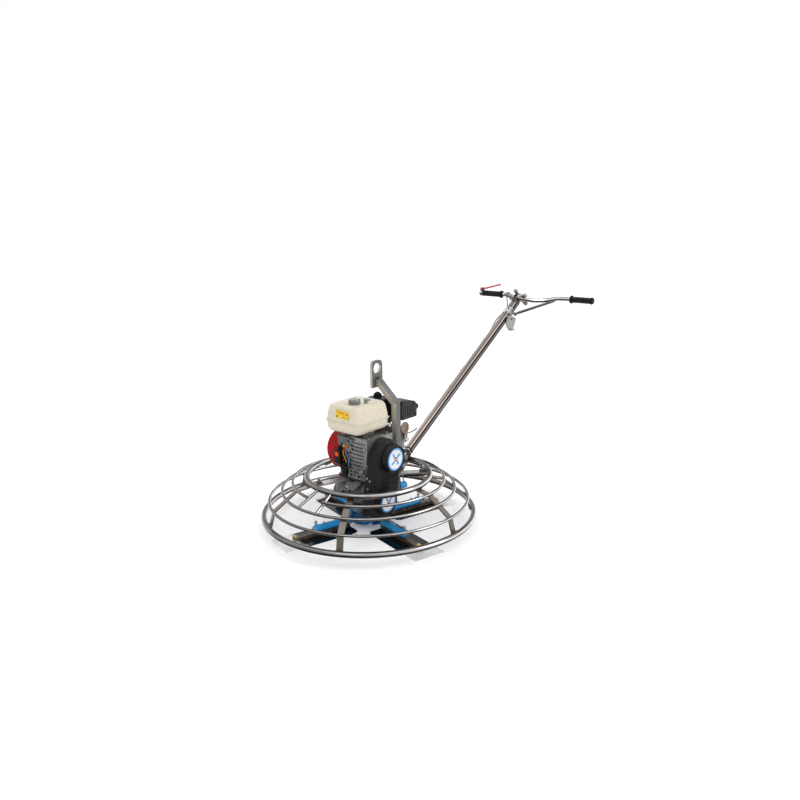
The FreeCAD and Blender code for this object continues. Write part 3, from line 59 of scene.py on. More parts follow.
class Look:
    """A node material built step by step; coordinates are the part's own, in metres."""

    def __init__(self, name):
        self.material = bpy.data.materials.new(name)
        self.material.use_nodes = True
        self.tree = self.material.node_tree
        self.shader = next(n for n in self.tree.nodes if n.type == "BSDF_PRINCIPLED")
        self.coords = self.add("ShaderNodeTexCoord").outputs["Object"]

    def add(self, kind, **settings):
        made = self.tree.nodes.new(kind)
        for key, value in settings.items():
            setattr(made, key, value)
        return made

    def link(self, source, target):
        self.tree.links.new(source, target)

    def feed(self, target, value):
        if isinstance(value, bpy.types.NodeSocket):
            self.link(value, target)
        else:
            target.default_value = value

    def place(self, stretch=(1, 1, 1), turn=(0, 0, 0)):
        mapping = self.add("ShaderNodeMapping", vector_type="TEXTURE")
        mapping.inputs["Scale"].default_value = stretch
        mapping.inputs["Rotation"].default_value = [math.radians(a) for a in turn]
        self.link(self.coords, mapping.inputs["Vector"])
        return mapping.outputs["Vector"]

    def noise(self, scale, detail=3.0, stretch=None, turn=(0, 0, 0), rough=0.5):
        texture = self.add("ShaderNodeTexNoise")
        texture.inputs["Scale"].default_value = scale
        texture.inputs["Detail"].default_value = detail
        texture.inputs["Roughness"].default_value = rough
        self.link(self.place(stretch, turn) if stretch else self.coords, texture.inputs["Vector"])
        return texture.outputs["Fac"]

    def cells(self, scale, stretch=None, turn=(0, 0, 0)):
        texture = self.add("ShaderNodeTexVoronoi")
        texture.inputs["Scale"].default_value = scale
        self.link(self.place(stretch, turn) if stretch else self.coords, texture.inputs["Vector"])
        return texture.outputs["Distance"]

    def ramp(self, source, *stops):
        """Colour or grey stops as (position, value) pairs."""
        ramp = self.add("ShaderNodeValToRGB")
        elements = ramp.color_ramp.elements
        while len(elements) < len(stops):
            elements.new(0.5)
        for element, (position, value) in zip(elements, stops):
            element.position = position
            element.color = (value, value, value, 1) if isinstance(value, (int, float)) else (*value, 1)
        self.link(source, ramp.inputs["Fac"])
        return ramp.outputs["Color"]

    def mix(self, factor, first, second, blend="MIX"):
        mixer = self.add("ShaderNodeMix", data_type="RGBA", blend_type=blend)
        self.feed(mixer.inputs[0], factor)
        for socket, value in ((mixer.inputs[6], first), (mixer.inputs[7], second)):
            self.feed(socket, (*value, 1) if isinstance(value, tuple) else value)
        return mixer.outputs[2]

    def math(self, operation, first, second=0.0):
        step = self.add("ShaderNodeMath", operation=operation)
        self.feed(step.inputs[0], first)
        self.feed(step.inputs[1], second)
        return step.outputs[0]

    def facing(self, axis="Z"):
        """Component of the surface normal, from -1 to 1, moved to 0 to 1."""
        normal = self.add("ShaderNodeNewGeometry").outputs["Normal"]
        parts = self.add("ShaderNodeSeparateXYZ")
        self.link(normal, parts.inputs[0])
        return self.half(parts.outputs[axis])

    def half(self, source):
        step = self.add("ShaderNodeMath", operation="MULTIPLY_ADD")
        self.link(source, step.inputs[0])
        step.inputs[1].default_value = 0.5
        step.inputs[2].default_value = 0.5
        return step.outputs[0]

    def bump(self, height, strength, distance=0.001, under=None):
        node = self.add("ShaderNodeBump")
        node.inputs["Strength"].default_value = strength
        node.inputs["Distance"].default_value = distance
        self.link(height, node.inputs["Height"])
        if under is not None:
            self.link(under, node.inputs["Normal"])
        return node.outputs["Normal"]

    def set(self, **values):
        for name, value in values.items():
            socket = self.shader.inputs[name.replace("_", " ")]
            if isinstance(value, tuple) and len(value) == 3:
                value = (*value, 1)
            self.feed(socket, value)
        return self


def painted(name, colour, under, rough=0.3, chips=0.62, peel=0.05, coat=0.2, dirt=0.5, fade=0.3,
            gloss=0.35):
    """Sprayed paint: slight tone drift, orange peel, dirt in patches and chips showing what is under."""
    look = Look(name)
    drift = look.ramp(look.noise(14, 4), (0.3, 1.05 - fade), (0.7, 1.05))
    base = look.mix(1.0, colour, drift, "MULTIPLY")
    grime = look.ramp(look.noise(45, 6, rough=0.65), (0.5, 0), (0.78, dirt))
    base = look.mix(grime, base, tuple(c * 0.45 + 0.01 for c in colour))
    chip = look.ramp(look.noise(230, 3, rough=0.7), (chips, 0), (chips + 0.03, 1))
    area = look.ramp(look.noise(22, 2), (0.5, 0), (0.62, 1))
    chip = look.math("MULTIPLY", chip, area)
    base = look.mix(chip, base, under)
    roughness = look.ramp(look.noise(60, 5), (0.3, rough * 0.75), (0.7, min(rough * 1.5, 1)))
    normal = look.bump(look.noise(520, 2), peel, 0.0006)
    normal = look.bump(chip, 0.25, -0.0003, normal)
    look.set(Specular_IOR_Level=gloss, Coat_Weight=coat, Coat_Roughness=0.12)
    return look.set(Base_Color=base, Roughness=roughness, Normal=normal)


def cast_metal(name, colour, rough=0.5, metallic=0.75, grain=260, depth=0.3, stain=(0.06, 0.055, 0.05)):
    """Sand or die cast metal: pitted skin and oily stains."""
    look = Look(name)
    drift = look.ramp(look.noise(24, 5), (0.28, 0.68), (0.72, 1.15))
    base = look.mix(1.0, colour, drift, "MULTIPLY")
    oil = look.ramp(look.noise(11, 7, rough=0.66), (0.52, 0), (0.72, 0.65))
    base = look.mix(oil, base, stain)
    pits = look.cells(grain)
    skin = look.noise(grain * 2.2, 3)
    roughness = look.ramp(look.noise(70, 4), (0.3, rough * 0.8), (0.72, min(rough * 1.35, 1)))
    normal = look.bump(skin, depth, 0.0008)
    normal = look.bump(pits, depth * 0.5, 0.0005, normal)
    return look.set(Base_Color=base, Metallic=metallic, Roughness=roughness, Normal=normal)


def bright_metal(name, painted_reflection_tones, rough=0.12, grain=(1, 1, 1), turn=(0, 0, 0), scratch=0.5,
                 warm=(0.42, 0.3, 0.24), warmth=0.25, side_shade=0.75):
    """Polished or brushed bar and tube: the colour is a painted reflection toned by the way the surface
    faces, with painted shade on faces turned towards -X and fine lines along the grain.
    """
    look = Look(name)
    # painted reflection: the colour steps with how far the surface faces up, dark and bright bands standing
    # in for the room
    tone = look.ramp(look.facing(), *painted_reflection_tones)
    # painted shade: faces turned towards -X are darkened down to side_shade
    shade = look.ramp(look.facing("X"), (0.0, side_shade), (0.42, 1.0))
    tone = look.mix(1.0, tone, shade, "MULTIPLY")
    drift = look.ramp(look.noise(16, 4, grain, turn), (0.35, 0.86), (0.65, 1.06))
    base = look.mix(1.0, tone, drift, "MULTIPLY")
    # warm patches: a painted brown reflection on the polished parts, and the metal's own tint on zinc and
    # welds
    tint = look.ramp(look.noise(7, 5, grain, turn, 0.6), (0.48, 0), (0.66, warmth))
    base = look.mix(tint, base, warm)
    lines = look.noise(420, 3, grain, turn, 0.6)
    mark = look.ramp(look.noise(900, 2, grain, turn), (0.6, 0), (0.72, scratch * 0.4))
    base = look.mix(mark, base, (0.1, 0.09, 0.085))
    roughness = look.ramp(lines, (0.3, rough * 0.6), (0.75, rough * 1.8))
    normal = look.bump(lines, 0.06, 0.0004)
    return look.set(Base_Color=base, Metallic=1.0, Roughness=roughness, Normal=normal)


def moulded(name, colour, rough=0.5, grain=700, depth=0.35, dust=0.12, dusty=(0.3, 0.29, 0.27)):
    """Moulded plastic or rubber: leather-like grain, rubbed patches and dust on what faces up."""
    look = Look(name)
    drift = look.ramp(look.noise(20, 5), (0.3, 0.7), (0.72, 1.5))
    base = look.mix(1.0, colour, drift, "MULTIPLY")
    upward = look.ramp(look.facing(), (0.55, 0), (1.0, dust))
    settled = look.math("MULTIPLY", upward, look.ramp(look.noise(55, 6), (0.35, 0.2), (0.7, 1)))
    base = look.mix(settled, base, dusty)
    roughness = look.ramp(look.noise(42, 6), (0.3, rough * 0.72), (0.72, min(rough * 1.4, 1)))
    normal = look.bump(look.cells(grain), depth, 0.0005)
    normal = look.bump(look.noise(grain * 0.35, 3), depth * 0.4, 0.0006, normal)
    look.set(Specular_IOR_Level=0.16)
    return look.set(Base_Color=base, Roughness=roughness, Normal=normal)


# Tone tables for bright_metal by how far the surface faces up: painted reflection, dark and bright bands for
# the room, and darker undersides as painted shade.
CHROME_PAINTED_REFLECTION = ((0.0, (0.5, 0.49, 0.48)), (0.2, (0.25, 0.24, 0.23)), (0.33, (0.012, 0.011, 0.01)),
          (0.47, (0.045, 0.04, 0.036)), (0.57, (0.3, 0.28, 0.26)), (0.68, (0.96, 0.96, 0.96)),
          (0.84, (0.7, 0.69, 0.68)), (0.94, (0.1, 0.09, 0.085)))
STEEL_PAINTED_REFLECTION = ((0.0, (0.1, 0.1, 0.1)), (0.4, (0.22, 0.215, 0.21)), (1.0, (0.55, 0.55, 0.54)))
WARM_STEEL_PAINTED_REFLECTION = ((0.0, (0.06, 0.052, 0.045)), (0.5, (0.11, 0.095, 0.08)), (1.0, (0.3, 0.27, 0.24)))

def blade_steel():
    """Bright plate whose colour is a painted reflection, near black near the hub where it would mirror the
    dark machine and near white further out, with a brown steel rib along it.
    """
    look = Look("trowel_blade")
    flat = look.add("ShaderNodeVectorMath", operation="MULTIPLY")
    flat.inputs[1].default_value = (1, 1, 0)
    look.link(look.coords, flat.inputs[0])
    reach = look.add("ShaderNodeVectorMath", operation="LENGTH")
    look.link(flat.outputs["Vector"], reach.inputs[0])
    wander = look.math("MULTIPLY", look.noise(9, 3), 0.03)
    edge = look.math("ADD", reach.outputs["Value"], wander)
    # painted reflection: the plate colour darkens towards the hub as a mirror of the dark machine above it
    plate = look.ramp(edge, (0.37, (0.012, 0.012, 0.013)), (0.395, (0.95, 0.955, 0.96)))
    smear = look.ramp(look.noise(30, 5, rough=0.65), (0.35, 0.86), (0.7, 1.0))
    plate = look.mix(1.0, plate, smear, "MULTIPLY")
    height = look.add("ShaderNodeSeparateXYZ")
    look.link(look.coords, height.inputs[0])
    rib = look.ramp(height.outputs["Z"], (0.0055, 0), (0.0065, 1))
    grain = look.ramp(look.noise(60, 6, rough=0.6), (0.3, (0.06, 0.045, 0.036)), (0.7, (0.2, 0.16, 0.13)))
    base = look.mix(rib, plate, grain)
    lines = look.noise(380, 3)
    roughness = look.mix(rib, look.ramp(lines, (0.3, 0.1), (0.7, 0.26)), (0.42, 0.42, 0.42))
    normal = look.bump(lines, 0.08, 0.0004)
    metallic = look.ramp(edge, (0.37, 0.9), (0.395, 0.3))
    return look.set(Base_Color=base, Metallic=metallic, Roughness=roughness, Normal=normal)


def post_steel():
    """Flame-dulled square tube whose colour carries painted light and shade: pale on the face towards the
    front, grey on the side faces.
    """
    look = Look("lifting_post")
    # painted light and shade: the tone steps with the way each face turns
    tone = look.ramp(look.facing("X"), (0.0, (0.52, 0.49, 0.41)), (0.3, (0.2, 0.2, 0.195)),
                     (0.5, (0.12, 0.12, 0.12)), (1.0, (0.2, 0.2, 0.2)))
    drift = look.ramp(look.noise(26, 5, (1, 1, 5)), (0.3, 0.75), (0.7, 1.15))
    base = look.mix(1.0, tone, drift, "MULTIPLY")
    mark = look.ramp(look.noise(160, 4, (1, 1, 6)), (0.6, 0), (0.7, 0.4))
    base = look.mix(mark, base, (0.05, 0.048, 0.045))
    lines = look.noise(500, 3, (1, 1, 7))
    roughness = look.ramp(lines, (0.3, 0.3), (0.72, 0.5))
    return look.set(Base_Color=base, Metallic=0.5, Roughness=roughness, Normal=look.bump(lines, 0.1, 0.0004))


HANDLE_RISE = math.radians(33)
HANDLE_RUN = Vector((math.cos(HANDLE_RISE), 0, math.sin(HANDLE_RISE)))
HANDLE_UP = Vector((-math.sin(HANDLE_RISE), 0, math.cos(HANDLE_RISE)))
HANDLE_FOOT = Vector((230, 0, 234))


def handle_steel():
    """Polished box tube whose colour is a painted reflection of the room: long brown and bright bands round
    the tube, with painted reflection streaks along it.
    """
    look = Look("polished_handle")
    lift = look.add("ShaderNodeVectorMath", operation="DOT_PRODUCT")
    lift.inputs[1].default_value = HANDLE_UP
    look.link(look.coords, lift.inputs[0])
    parts = look.add("ShaderNodeSeparateXYZ")
    look.link(look.coords, parts.inputs[0])
    around = look.math("ADD", parts.outputs["Y"], lift.outputs["Value"])
    around = look.math("SUBTRACT", around, HANDLE_UP.dot(HANDLE_FOOT) * MM)
    along = (0, -math.degrees(HANDLE_RISE), 0)
    wobble = look.noise(30, 3, (30, 1, 1), along)
    around = look.math("ADD", around, look.math("MULTIPLY", wobble, 0.004))
    place = look.math("DIVIDE", look.math("ADD", around, 0.033), 0.07)
    # painted reflection and painted highlight lines: dark, brown and bright bands set by place round the tube
    dark, brown, bright = (0.035, 0.026, 0.023), (0.15, 0.108, 0.09), (0.62, 0.59, 0.57)
    tone = look.ramp(place, (0.0, bright), (0.05, dark), (0.14, dark), (0.2, (0.34, 0.3, 0.28)),
                     (0.27, dark), (0.46, dark), (0.52, bright), (0.57, brown), (0.74, (0.2, 0.15, 0.13)),
                     (0.82, (0.36, 0.32, 0.3)), (0.87, dark), (0.93, bright))
    # long light and dark streaks along the tube, also painted reflection
    drift = look.ramp(look.noise(90, 4, (40, 1, 1), along), (0.35, 0.6), (0.65, 1.35))
    base = look.mix(1.0, tone, drift, "MULTIPLY")
    mark = look.ramp(look.noise(900, 2, (20, 1, 1), along), (0.6, 0), (0.72, 0.3))
    base = look.mix(mark, base, (0.06, 0.05, 0.045))
    lines = look.noise(420, 3, (20, 1, 1), along)
    roughness = look.ramp(lines, (0.3, 0.1), (0.75, 0.3))
    return look.set(Base_Color=base, Metallic=1.0, Roughness=roughness, Normal=look.bump(lines, 0.06, 0.0004))


# Each bright_metal tone table here is a painted reflection by how the surface faces, such as the knurled
# cap's bright band.
looks = {
    "chrome": bright_metal("chrome_rod", CHROME_PAINTED_REFLECTION, 0.1, scratch=0.3, warmth=0.12, side_shade=0.1),
    "spoke": bright_metal("brushed_strip", WARM_STEEL_PAINTED_REFLECTION, 0.3, (1, 1, 6), scratch=0.6, warmth=0.5),
    "handle": handle_steel(),
    "handle_chrome": bright_metal("polished_bar", CHROME_PAINTED_REFLECTION, 0.12, scratch=0.3),
    "steel": bright_metal("machined_steel", STEEL_PAINTED_REFLECTION, 0.28, scratch=0.6, warmth=0.1),
    "plate_steel": bright_metal("brushed_plate", ((0.0, (0.2, 0.2, 0.2)), (0.5, (0.36, 0.35, 0.34)),
                                                  (1.0, (0.6, 0.6, 0.6))),
                                0.36, (1, 1, 8), scratch=0.7, warmth=0.12),
    "blade": blade_steel(),
    "post": post_steel(),
    "cap": bright_metal("knurled_cap", ((0.0, (0.1, 0.1, 0.1)), (0.45, (0.07, 0.068, 0.066)),
                                        (0.6, (0.5, 0.5, 0.49)),
                                        (0.8, (0.14, 0.135, 0.13)), (1.0, (0.3, 0.3, 0.29))), 0.2,
                                        scratch=0.6),
    "zinc": bright_metal("zinc_fastener", STEEL_PAINTED_REFLECTION, 0.32, scratch=0.5, warm=(0.5, 0.44, 0.3), warmth=0.35),
    "blue": painted("blue_paint", (0.03, 0.35, 0.76), (0.05, 0.05, 0.05), 0.3, 0.64, 0.04, 0.1),
    "navy": painted("navy_paint", (0.01, 0.1, 0.29), (0.05, 0.05, 0.05), chips=0.66),
    "cream": painted("cream_paint", (0.6, 0.55, 0.43), (0.5, 0.45, 0.34), 0.24, 0.9, 0.008, 0.3, 0.05, 0.08),
    "red": painted("red_paint", (0.36, 0.001, 0.003), (0.12, 0.02, 0.02), 0.4, 0.74, 0.04, 0.03, 0.4, 0.3,
                   0.1),
    "lever_red": painted("red_dip", (0.62, 0.06, 0.09), (0.3, 0.08, 0.08), 0.4, 0.68, 0.03, 0.2),
    "black_sheet": painted("black_enamel", (0.006, 0.006, 0.007), (0.1, 0.1, 0.1), 0.42, 0.7, 0.05, 0.04),
    "grey_cast": cast_metal("grey_casting", (0.115, 0.12, 0.118), 0.46, 0.35, 240, 0.35),
    "alloy": cast_metal("alloy_casting", (0.25, 0.25, 0.245), 0.36, 0.8, 300, 0.35, (0.02, 0.019, 0.018)),
    "bronze": cast_metal("bronze_wheel", (0.5, 0.32, 0.12), 0.3, 1.0, 300, 0.15),
    "black_plastic": moulded("black_moulding", (0.006, 0.006, 0.0065), 0.42, 620, 0.3, 0.05),
    "soft_black": moulded("soft_black_moulding", (0.005, 0.005, 0.006), 0.58, 500, 0.4, 0.05),
    "rubber": moulded("rubber_grip", (0.005, 0.005, 0.005), 0.62, 380, 0.6, 0.08),
    "belt": moulded("belt_rubber", (0.012, 0.012, 0.012), 0.75, 900, 0.5),
    "sheath": moulded("cable_sheath", (0.16, 0.16, 0.165), 0.4, 900, 0.3),
    "orange": moulded("orange_rocker", (0.7, 0.09, 0.02), 0.36, 700, 0.15),
    "wire_black": moulded("wire_insulation", (0.012, 0.012, 0.014), 0.42, 900, 0.2),
}

NODE_LOOKS = {
    "chrome": "outer_ring lower_ring middle_ring upper_ring top_ring",
    "cap": "fuel_cap",
    "post": "lifting_arm",
    "spoke": "guard_spokes",
    "handle": "handle_tube",
    "handle_chrome": "handlebar lever_mounts",
    "plate_steel": "guard_arms handle_base handle_clamp",
    "steel": "output_shaft worm_shaft crankshaft thrust_collar bearings clutch_pulley worm_pulley "
             "pitch_cable",
    "zinc": "fasteners throttle_lever pitch_wheel choke_lever",
    "blue": "arm_1 arm_2 arm_3 arm_4 yoke_fork",
    "navy": "rotor_hub",
    "cream": "fuel_tank",
    "red": "fan_housing recoil_cover",
    "lever_red": "safety_lever",
    "black_sheet": "frame_plate belt_guard_back muffler",
    "grey_cast": "gearbox_housing gearbox_cover",
    "alloy": "crankcase carburettor cylinder_head",
    "bronze": "worm_wheel",
    "black_plastic": "belt_guard_cover air_cleaner_cover switch_box pull_grip fuel_lever",
    "soft_black": "cleaner_knob",
    "rubber": "grips",
    "belt": "drive_belt",
    "sheath": "throttle_cable",
    "orange": "switch_button",
    "wire_black": "wiring_loom",
    "blade": "blade_1 blade_2 blade_3 blade_4",
}


def dress(obj, look):
    obj.data.materials.clear()
    obj.data.materials.append(looks[look].material)


for look_name, names in NODE_LOOKS.items():
    for node_name in names.split():
        dress(nodes[node_name], look_name)


# ------------------------------------------------------------------ shape helpers, in millimetres

def axes_for(direction):
    """Two unit vectors square to a direction."""
    direction = Vector(direction).normalized()
    first = direction.cross(Z_AXIS if abs(direction.z) < 0.9 else X_AXIS).normalized()
    return first, direction.cross(first)


def lathe(shape, profile, place, direction, segments=32):
    """Turns (radius, height) pairs about an axis; zero radii close the ends."""
    direction = Vector(direction).normalized()
    first, second = axes_for(direction)
    rings = []
    for radius, height in profile:
        centre = Vector(place) + direction * height
        if radius == 0:
            rings.append([shape.verts.new(centre * MM)])
            continue
        ring = []
        for k in range(segments):
            angle = 2 * math.pi * k / segments
            out = first * math.cos(angle) + second * math.sin(angle)
            ring.append(shape.verts.new((centre + out * radius) * MM))
        rings.append(ring)
    for low, high in zip(rings, rings[1:]):
        for k in range(segments):
            n = (k + 1) % segments
            corners = [low[k % len(low)], low[n % len(low)], high[n % len(high)], high[k % len(high)]]
            unique = list(dict.fromkeys(corners))
            if len(unique) > 2:
                shape.faces.new(unique)


def bridge(shape, low, high):
    """Side faces between two point rings of one length."""
    count = len(low)
    for k in range(count):
        n = (k + 1) % count
        shape.faces.new([low[k], low[n], high[n], high[k]])


def plate(shape, outline, depth):
    """A flat outline of corner points pushed through a depth vector."""
    depth = Vector(depth)
    low = [shape.verts.new(Vector(p) * MM) for p in outline]
    high = [shape.verts.new((Vector(p) + depth) * MM) for p in outline]
    shape.faces.new(low[::-1])
    shape.faces.new(high)
    bridge(shape, low, high)


def slab(shape, centre, along, across, size):
    """A small block by its centre, two edge directions and three sizes."""
    along = Vector(along).normalized()
    across = Vector(across)
    across = (across - along * across.dot(along)).normalized()
    through = along.cross(across)
    length, width, thick = size
    start = Vector(centre) - through * thick / 2
    corners = [start + along * (a * length / 2) + across * (b * width / 2) for a, b in SQUARE]
    plate(shape, corners, through * thick)


def hex_head(shape, place, direction, radius, high, washer=1.5):
    """A bolt head with its chamfered top, on a washer."""
    lathe(shape, [(0, 0), (radius * 1.45, 0), (radius * 1.45, washer), (0, washer)], place, direction, 20)
    lathe(shape, [(0, washer), (radius, washer), (radius, washer + high * 0.8),
                  (radius * 0.82, washer + high), (0, washer + high)], place, direction, 6)


def mesh_piece(name, body, look, build, bevel=0.0, smooth=True):
    shape = bmesh.new()
    build(shape)
    bmesh.ops.recalc_face_normals(shape, faces=shape.faces)
    mesh = bpy.data.meshes.new(name)
    shape.to_mesh(mesh)
    shape.free()
    for face in mesh.polygons:
        face.use_smooth = smooth
    made = bpy.data.objects.new(name, mesh)
    scene.collection.objects.link(made)
    if bevel:
        edge = made.modifiers.new("edges", "BEVEL")
        edge.width = bevel * MM
        edge.segments = 2
        edge.limit_method = "ANGLE"
        edge.angle_limit = math.radians(35)
    if smooth:
        mesh.set_sharp_from_angle(angle=math.radians(38))
    mesh.materials.append(looks[look].material)
    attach(made, body)
    return made


def piece(name, body, look, bevel=0.0):
    """Marks a function that fills a shape: it is built at once as a piece of this name."""
    return lambda build: mesh_piece(name, body, look, build, bevel)


def lathe_piece(name, look, profile, place, direction, segments):
    """One turned shape on the frame."""
    mesh_piece(name, "frame", look, lambda shape: lathe(shape, profile, place, direction, segments))


def line_piece(name, body, look, points, radius):
    """A smooth round line through space: wire, hose or cable."""
    curve = bpy.data.curves.new(name, "CURVE")
    curve.dimensions = "3D"
    curve.bevel_depth = radius * MM
    curve.bevel_resolution = 4
    curve.resolution_u = 8
    curve.use_fill_caps = True
    spline = curve.splines.new("NURBS")
    spline.points.add(len(points) - 1)
    for point, place in zip(spline.points, points):
        point.co = (*(Vector(place) * MM), 1)
    spline.order_u = 3
    spline.use_endpoint_u = True
    curve.materials.append(looks[look].material)
    made = bpy.data.objects.new(name, curve)
    scene.collection.objects.link(made)
    if body:
        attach(made, body)
    return made


def turned(point, angle):
    return Matrix.Rotation(math.radians(angle), 3, "Z") @ Vector(point)


def on_handle(distance, lift=0.0, side=0.0):
    """A point along the handle from its pivot bolt, in millimetres."""
    return HANDLE_FOOT + HANDLE_RUN * distance + HANDLE_UP * lift + Vector((0, side, 0))


# ------------------------------------------------------------------ extra looks

looks["white_enamel"] = painted("white_enamel", (0.82, 0.83, 0.84), (0.4, 0.4, 0.4), 0.25, 0.76, 0.02, 0.5)
looks["sky_enamel"] = painted("sky_enamel", (0.05, 0.3, 0.7), (0.02, 0.1, 0.3), 0.25, 0.76, 0.02, 0.5)
looks["yellow"] = painted("yellow_film", (0.85, 0.58, 0.015), (0.5, 0.3, 0.02), 0.4, 0.74, 0.03, 0.2)
looks["ink"] = painted("dark_ink", (0.03, 0.028, 0.026), (0.2, 0.15, 0.05), 0.5, 0.72, 0.03, 0.0)
looks["orange_ink"] = painted("orange_ink", (0.7, 0.1, 0.03), (0.4, 0.1, 0.03), 0.5, 0.72, 0.03, 0.0)
# The yellow zinc, dark bar and weld tone tables are painted reflection and painted shade by how the surface
# faces.
looks["yellow_zinc"] = bright_metal("yellow_zinc", ((0.0, (0.4, 0.3, 0.06)), (1.0, (0.85, 0.66, 0.16))),
                                    0.3, scratch=0.4, warm=(0.6, 0.4, 0.1), warmth=0.4)
for wire_name, colour in (("wire_red", (0.5, 0.02, 0.02)), ("wire_blue", (0.04, 0.2, 0.5)),
                          ("wire_yellow", (0.6, 0.4, 0.03))):
    looks[wire_name] = moulded(wire_name, colour, 0.4, 900, 0.15)
looks["dark_bar"] = bright_metal("dark_bar", ((0.0, (0.05, 0.05, 0.05)), (0.5, (0.03, 0.03, 0.03)),
                                              (0.8, (0.16, 0.16, 0.16)), (1.0, (0.3, 0.3, 0.3))), 0.3,
                                              scratch=0.5, warmth=0.1)
looks["weld"] = bright_metal("weld_bead", ((0.0, (0.1, 0.09, 0.09)), (1.0, (0.42, 0.38, 0.34))), 0.4,
                             scratch=0.5, warm=(0.3, 0.2, 0.32), warmth=0.5)
looks["brown_cast"] = cast_metal("heat_browned_casting", (0.27, 0.2, 0.16), 0.4, 0.7, 260, 0.3)


# ------------------------------------------------------------------ fuel tank

def tank_section(inset, height, bend=22, steps=8):
    """One rounded rectangle of the tank, drawn in from the seam's outline."""
    low, high = Vector((-146 + inset, -78 + inset)), Vector((74 - inset, 128 - inset))
    points = []
    for x, y, start in ((high.x - bend, low.y + bend, -90), (high.x - bend, high.y - bend, 0),
                        (low.x + bend, high.y - bend, 90), (low.x + bend, low.y + bend, 180)):
        for k in range(steps + 1):
            angle = math.radians(start + 90 * k / steps)
            points.append(Vector((x + bend * math.cos(angle), y + bend * math.sin(angle), height)))
    return points


def skin(shape, sections):
    """Faces between point rings, closed at both ends."""
    rings = [[shape.verts.new(p * MM) for p in section] for section in sections]
    for low, high in zip(rings, rings[1:]):
        bridge(shape, low, high)
    shape.faces.new(rings[0][::-1])
    shape.faces.new(rings[-1])


def build_tank(shape):
    profile = [(40, 440), (32, 440.6), (25, 443), (17, 447), (11, 453), (8, 462), (6.5, 476), (5, 492),
               (0.6, 492.4), (0.2, 494), (0.6, 495.6), (5, 496), (6, 506), (7.5, 520), (9.5, 534),
               (11.5, 546), (13.5, 554), (16.5, 560), (21, 564.5), (28, 567.6), (38, 569.2), (60, 570)]
    skin(shape, [tank_section(inset, height) for inset, height in profile])
    lathe(shape, [(24, 566), (24, 571.5), (22, 573), (19, 573.5), (19, 580), (16, 580), (16, 566)],
          (-80, 0, 0), Z_AXIS, 40)


tank = mesh_piece("tank_shell", "frame", "cream", build_tank)
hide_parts("fuel_tank")


# ------------------------------------------------------------------ belt cover emblems and panel lines

def emblem(name, centre, radius, face_y):
    """A domed disc with a coloured rim and four plain vanes."""
    place = (centre[0], face_y, centre[1])
    inner = radius - 7
    lathe_piece(name + "_rim", "sky_enamel", [(inner, 0), (radius, 0), (radius, 1.6), (radius - 1, 2.4),
                                              (radius - 6, 2.4), (inner, 1.6)], place, MINUS_Y, 64)
    lathe_piece(name + "_disc", "white_enamel", [(0, 0), (inner, 0), (inner, 1.4), (radius - 9, 1.8),
                                                 (0, 2.1)], place, MINUS_Y, 64)

    @piece(name + "_vanes", "frame", "sky_enamel", 0.6)
    def build_vanes(shape):
        centre_point = Vector(place) + Vector((0, -2.3, 0))
        for k in range(4):
            angle = math.radians(90 * k + 25)
            out = Vector((math.cos(angle), 0, math.sin(angle)))
            side = out.cross(Y_AXIS)
            slab(shape, centre_point + out * radius * 0.44 + side * radius * 0.08, out, side,
                 (radius * 0.4, radius * 0.19, 0.9))

    bore, edge = radius * 0.1, radius * 0.19
    lathe_piece(name + "_hub", "ink", [(bore, 1.6), (edge, 1.6), (edge, 2.8), (bore, 2.8)], place, MINUS_Y,
                32)


CRANK_CENTRE, WORM_BOSS = (-20, 339), (-60, 155)
CRANK_BOSS_Y, WORM_BOSS_Y = -177, -168
emblem("upper_emblem", CRANK_CENTRE, 50, CRANK_BOSS_Y)
emblem("lower_emblem", WORM_BOSS, 47, WORM_BOSS_Y)


@piece("cover_ribs", "frame", "black_plastic", 0.7)
def build_panel_lines(shape):
    face = -150.6
    for x, z, length, width in ((-40, 238, 2.6, 70), (-6, 252, 62, 2.6), (-8, 224, 66, 2.6),
                                (-70, 252, 44, 2.4), (-72, 236, 46, 2.4)):
        slab(shape, (x, face, z), X_AXIS, Z_AXIS, (length, width, 2.4))


@piece("boss_rims", "frame", "black_plastic")
def build_cover_rim(shape):
    for centre, radius, y_face in ((CRANK_CENTRE, 60, CRANK_BOSS_Y), (WORM_BOSS, 56, WORM_BOSS_Y)):
        place = (centre[0], y_face, centre[1])
        lathe(shape, [(radius - 3, 0), (radius + 0.4, 0), (radius + 0.4, 2), (radius - 1, 3.2),
                      (radius - 3, 2)], place, MINUS_Y, 72)


# ------------------------------------------------------------------ tank label and fittings

LABEL_FACE = -138.4


def label_place(u, v, lift):
    """A point on the label: u along +Y, v up, lift off the tank's leaning side."""
    lean = (v - 530) * 0.14
    return Vector((LABEL_FACE + lean - lift, u, v))


def build_label(shape, boxes, lift, thick):
    for u, v, wide, high in boxes:
        corners = [label_place(u + a * wide / 2, v + b * high / 2 + a * 2.0 * wide / 80, lift)
                   for a, b in SQUARE]
        plate(shape, corners, (-thick, 0, 0))


for name, look, boxes, lift, thick, bevel in (
        ("tank_label", "yellow", [(18, 530, 78, 34)], 0.2, 0.8, 0.3),
        ("label_bars", "orange_ink", [(28, 539, 44, 3), (22, 533, 34, 2), (-8, 534, 12, 8)], 1.0, 0.4, 0.1),
        ("label_blocks", "ink", [(46, 521, 9, 8), (6, 520, 26, 2)], 1.0, 0.4, 0.1)):
    mesh_piece(name, "frame", look, lambda s: build_label(s, boxes, lift, thick), bevel, False)


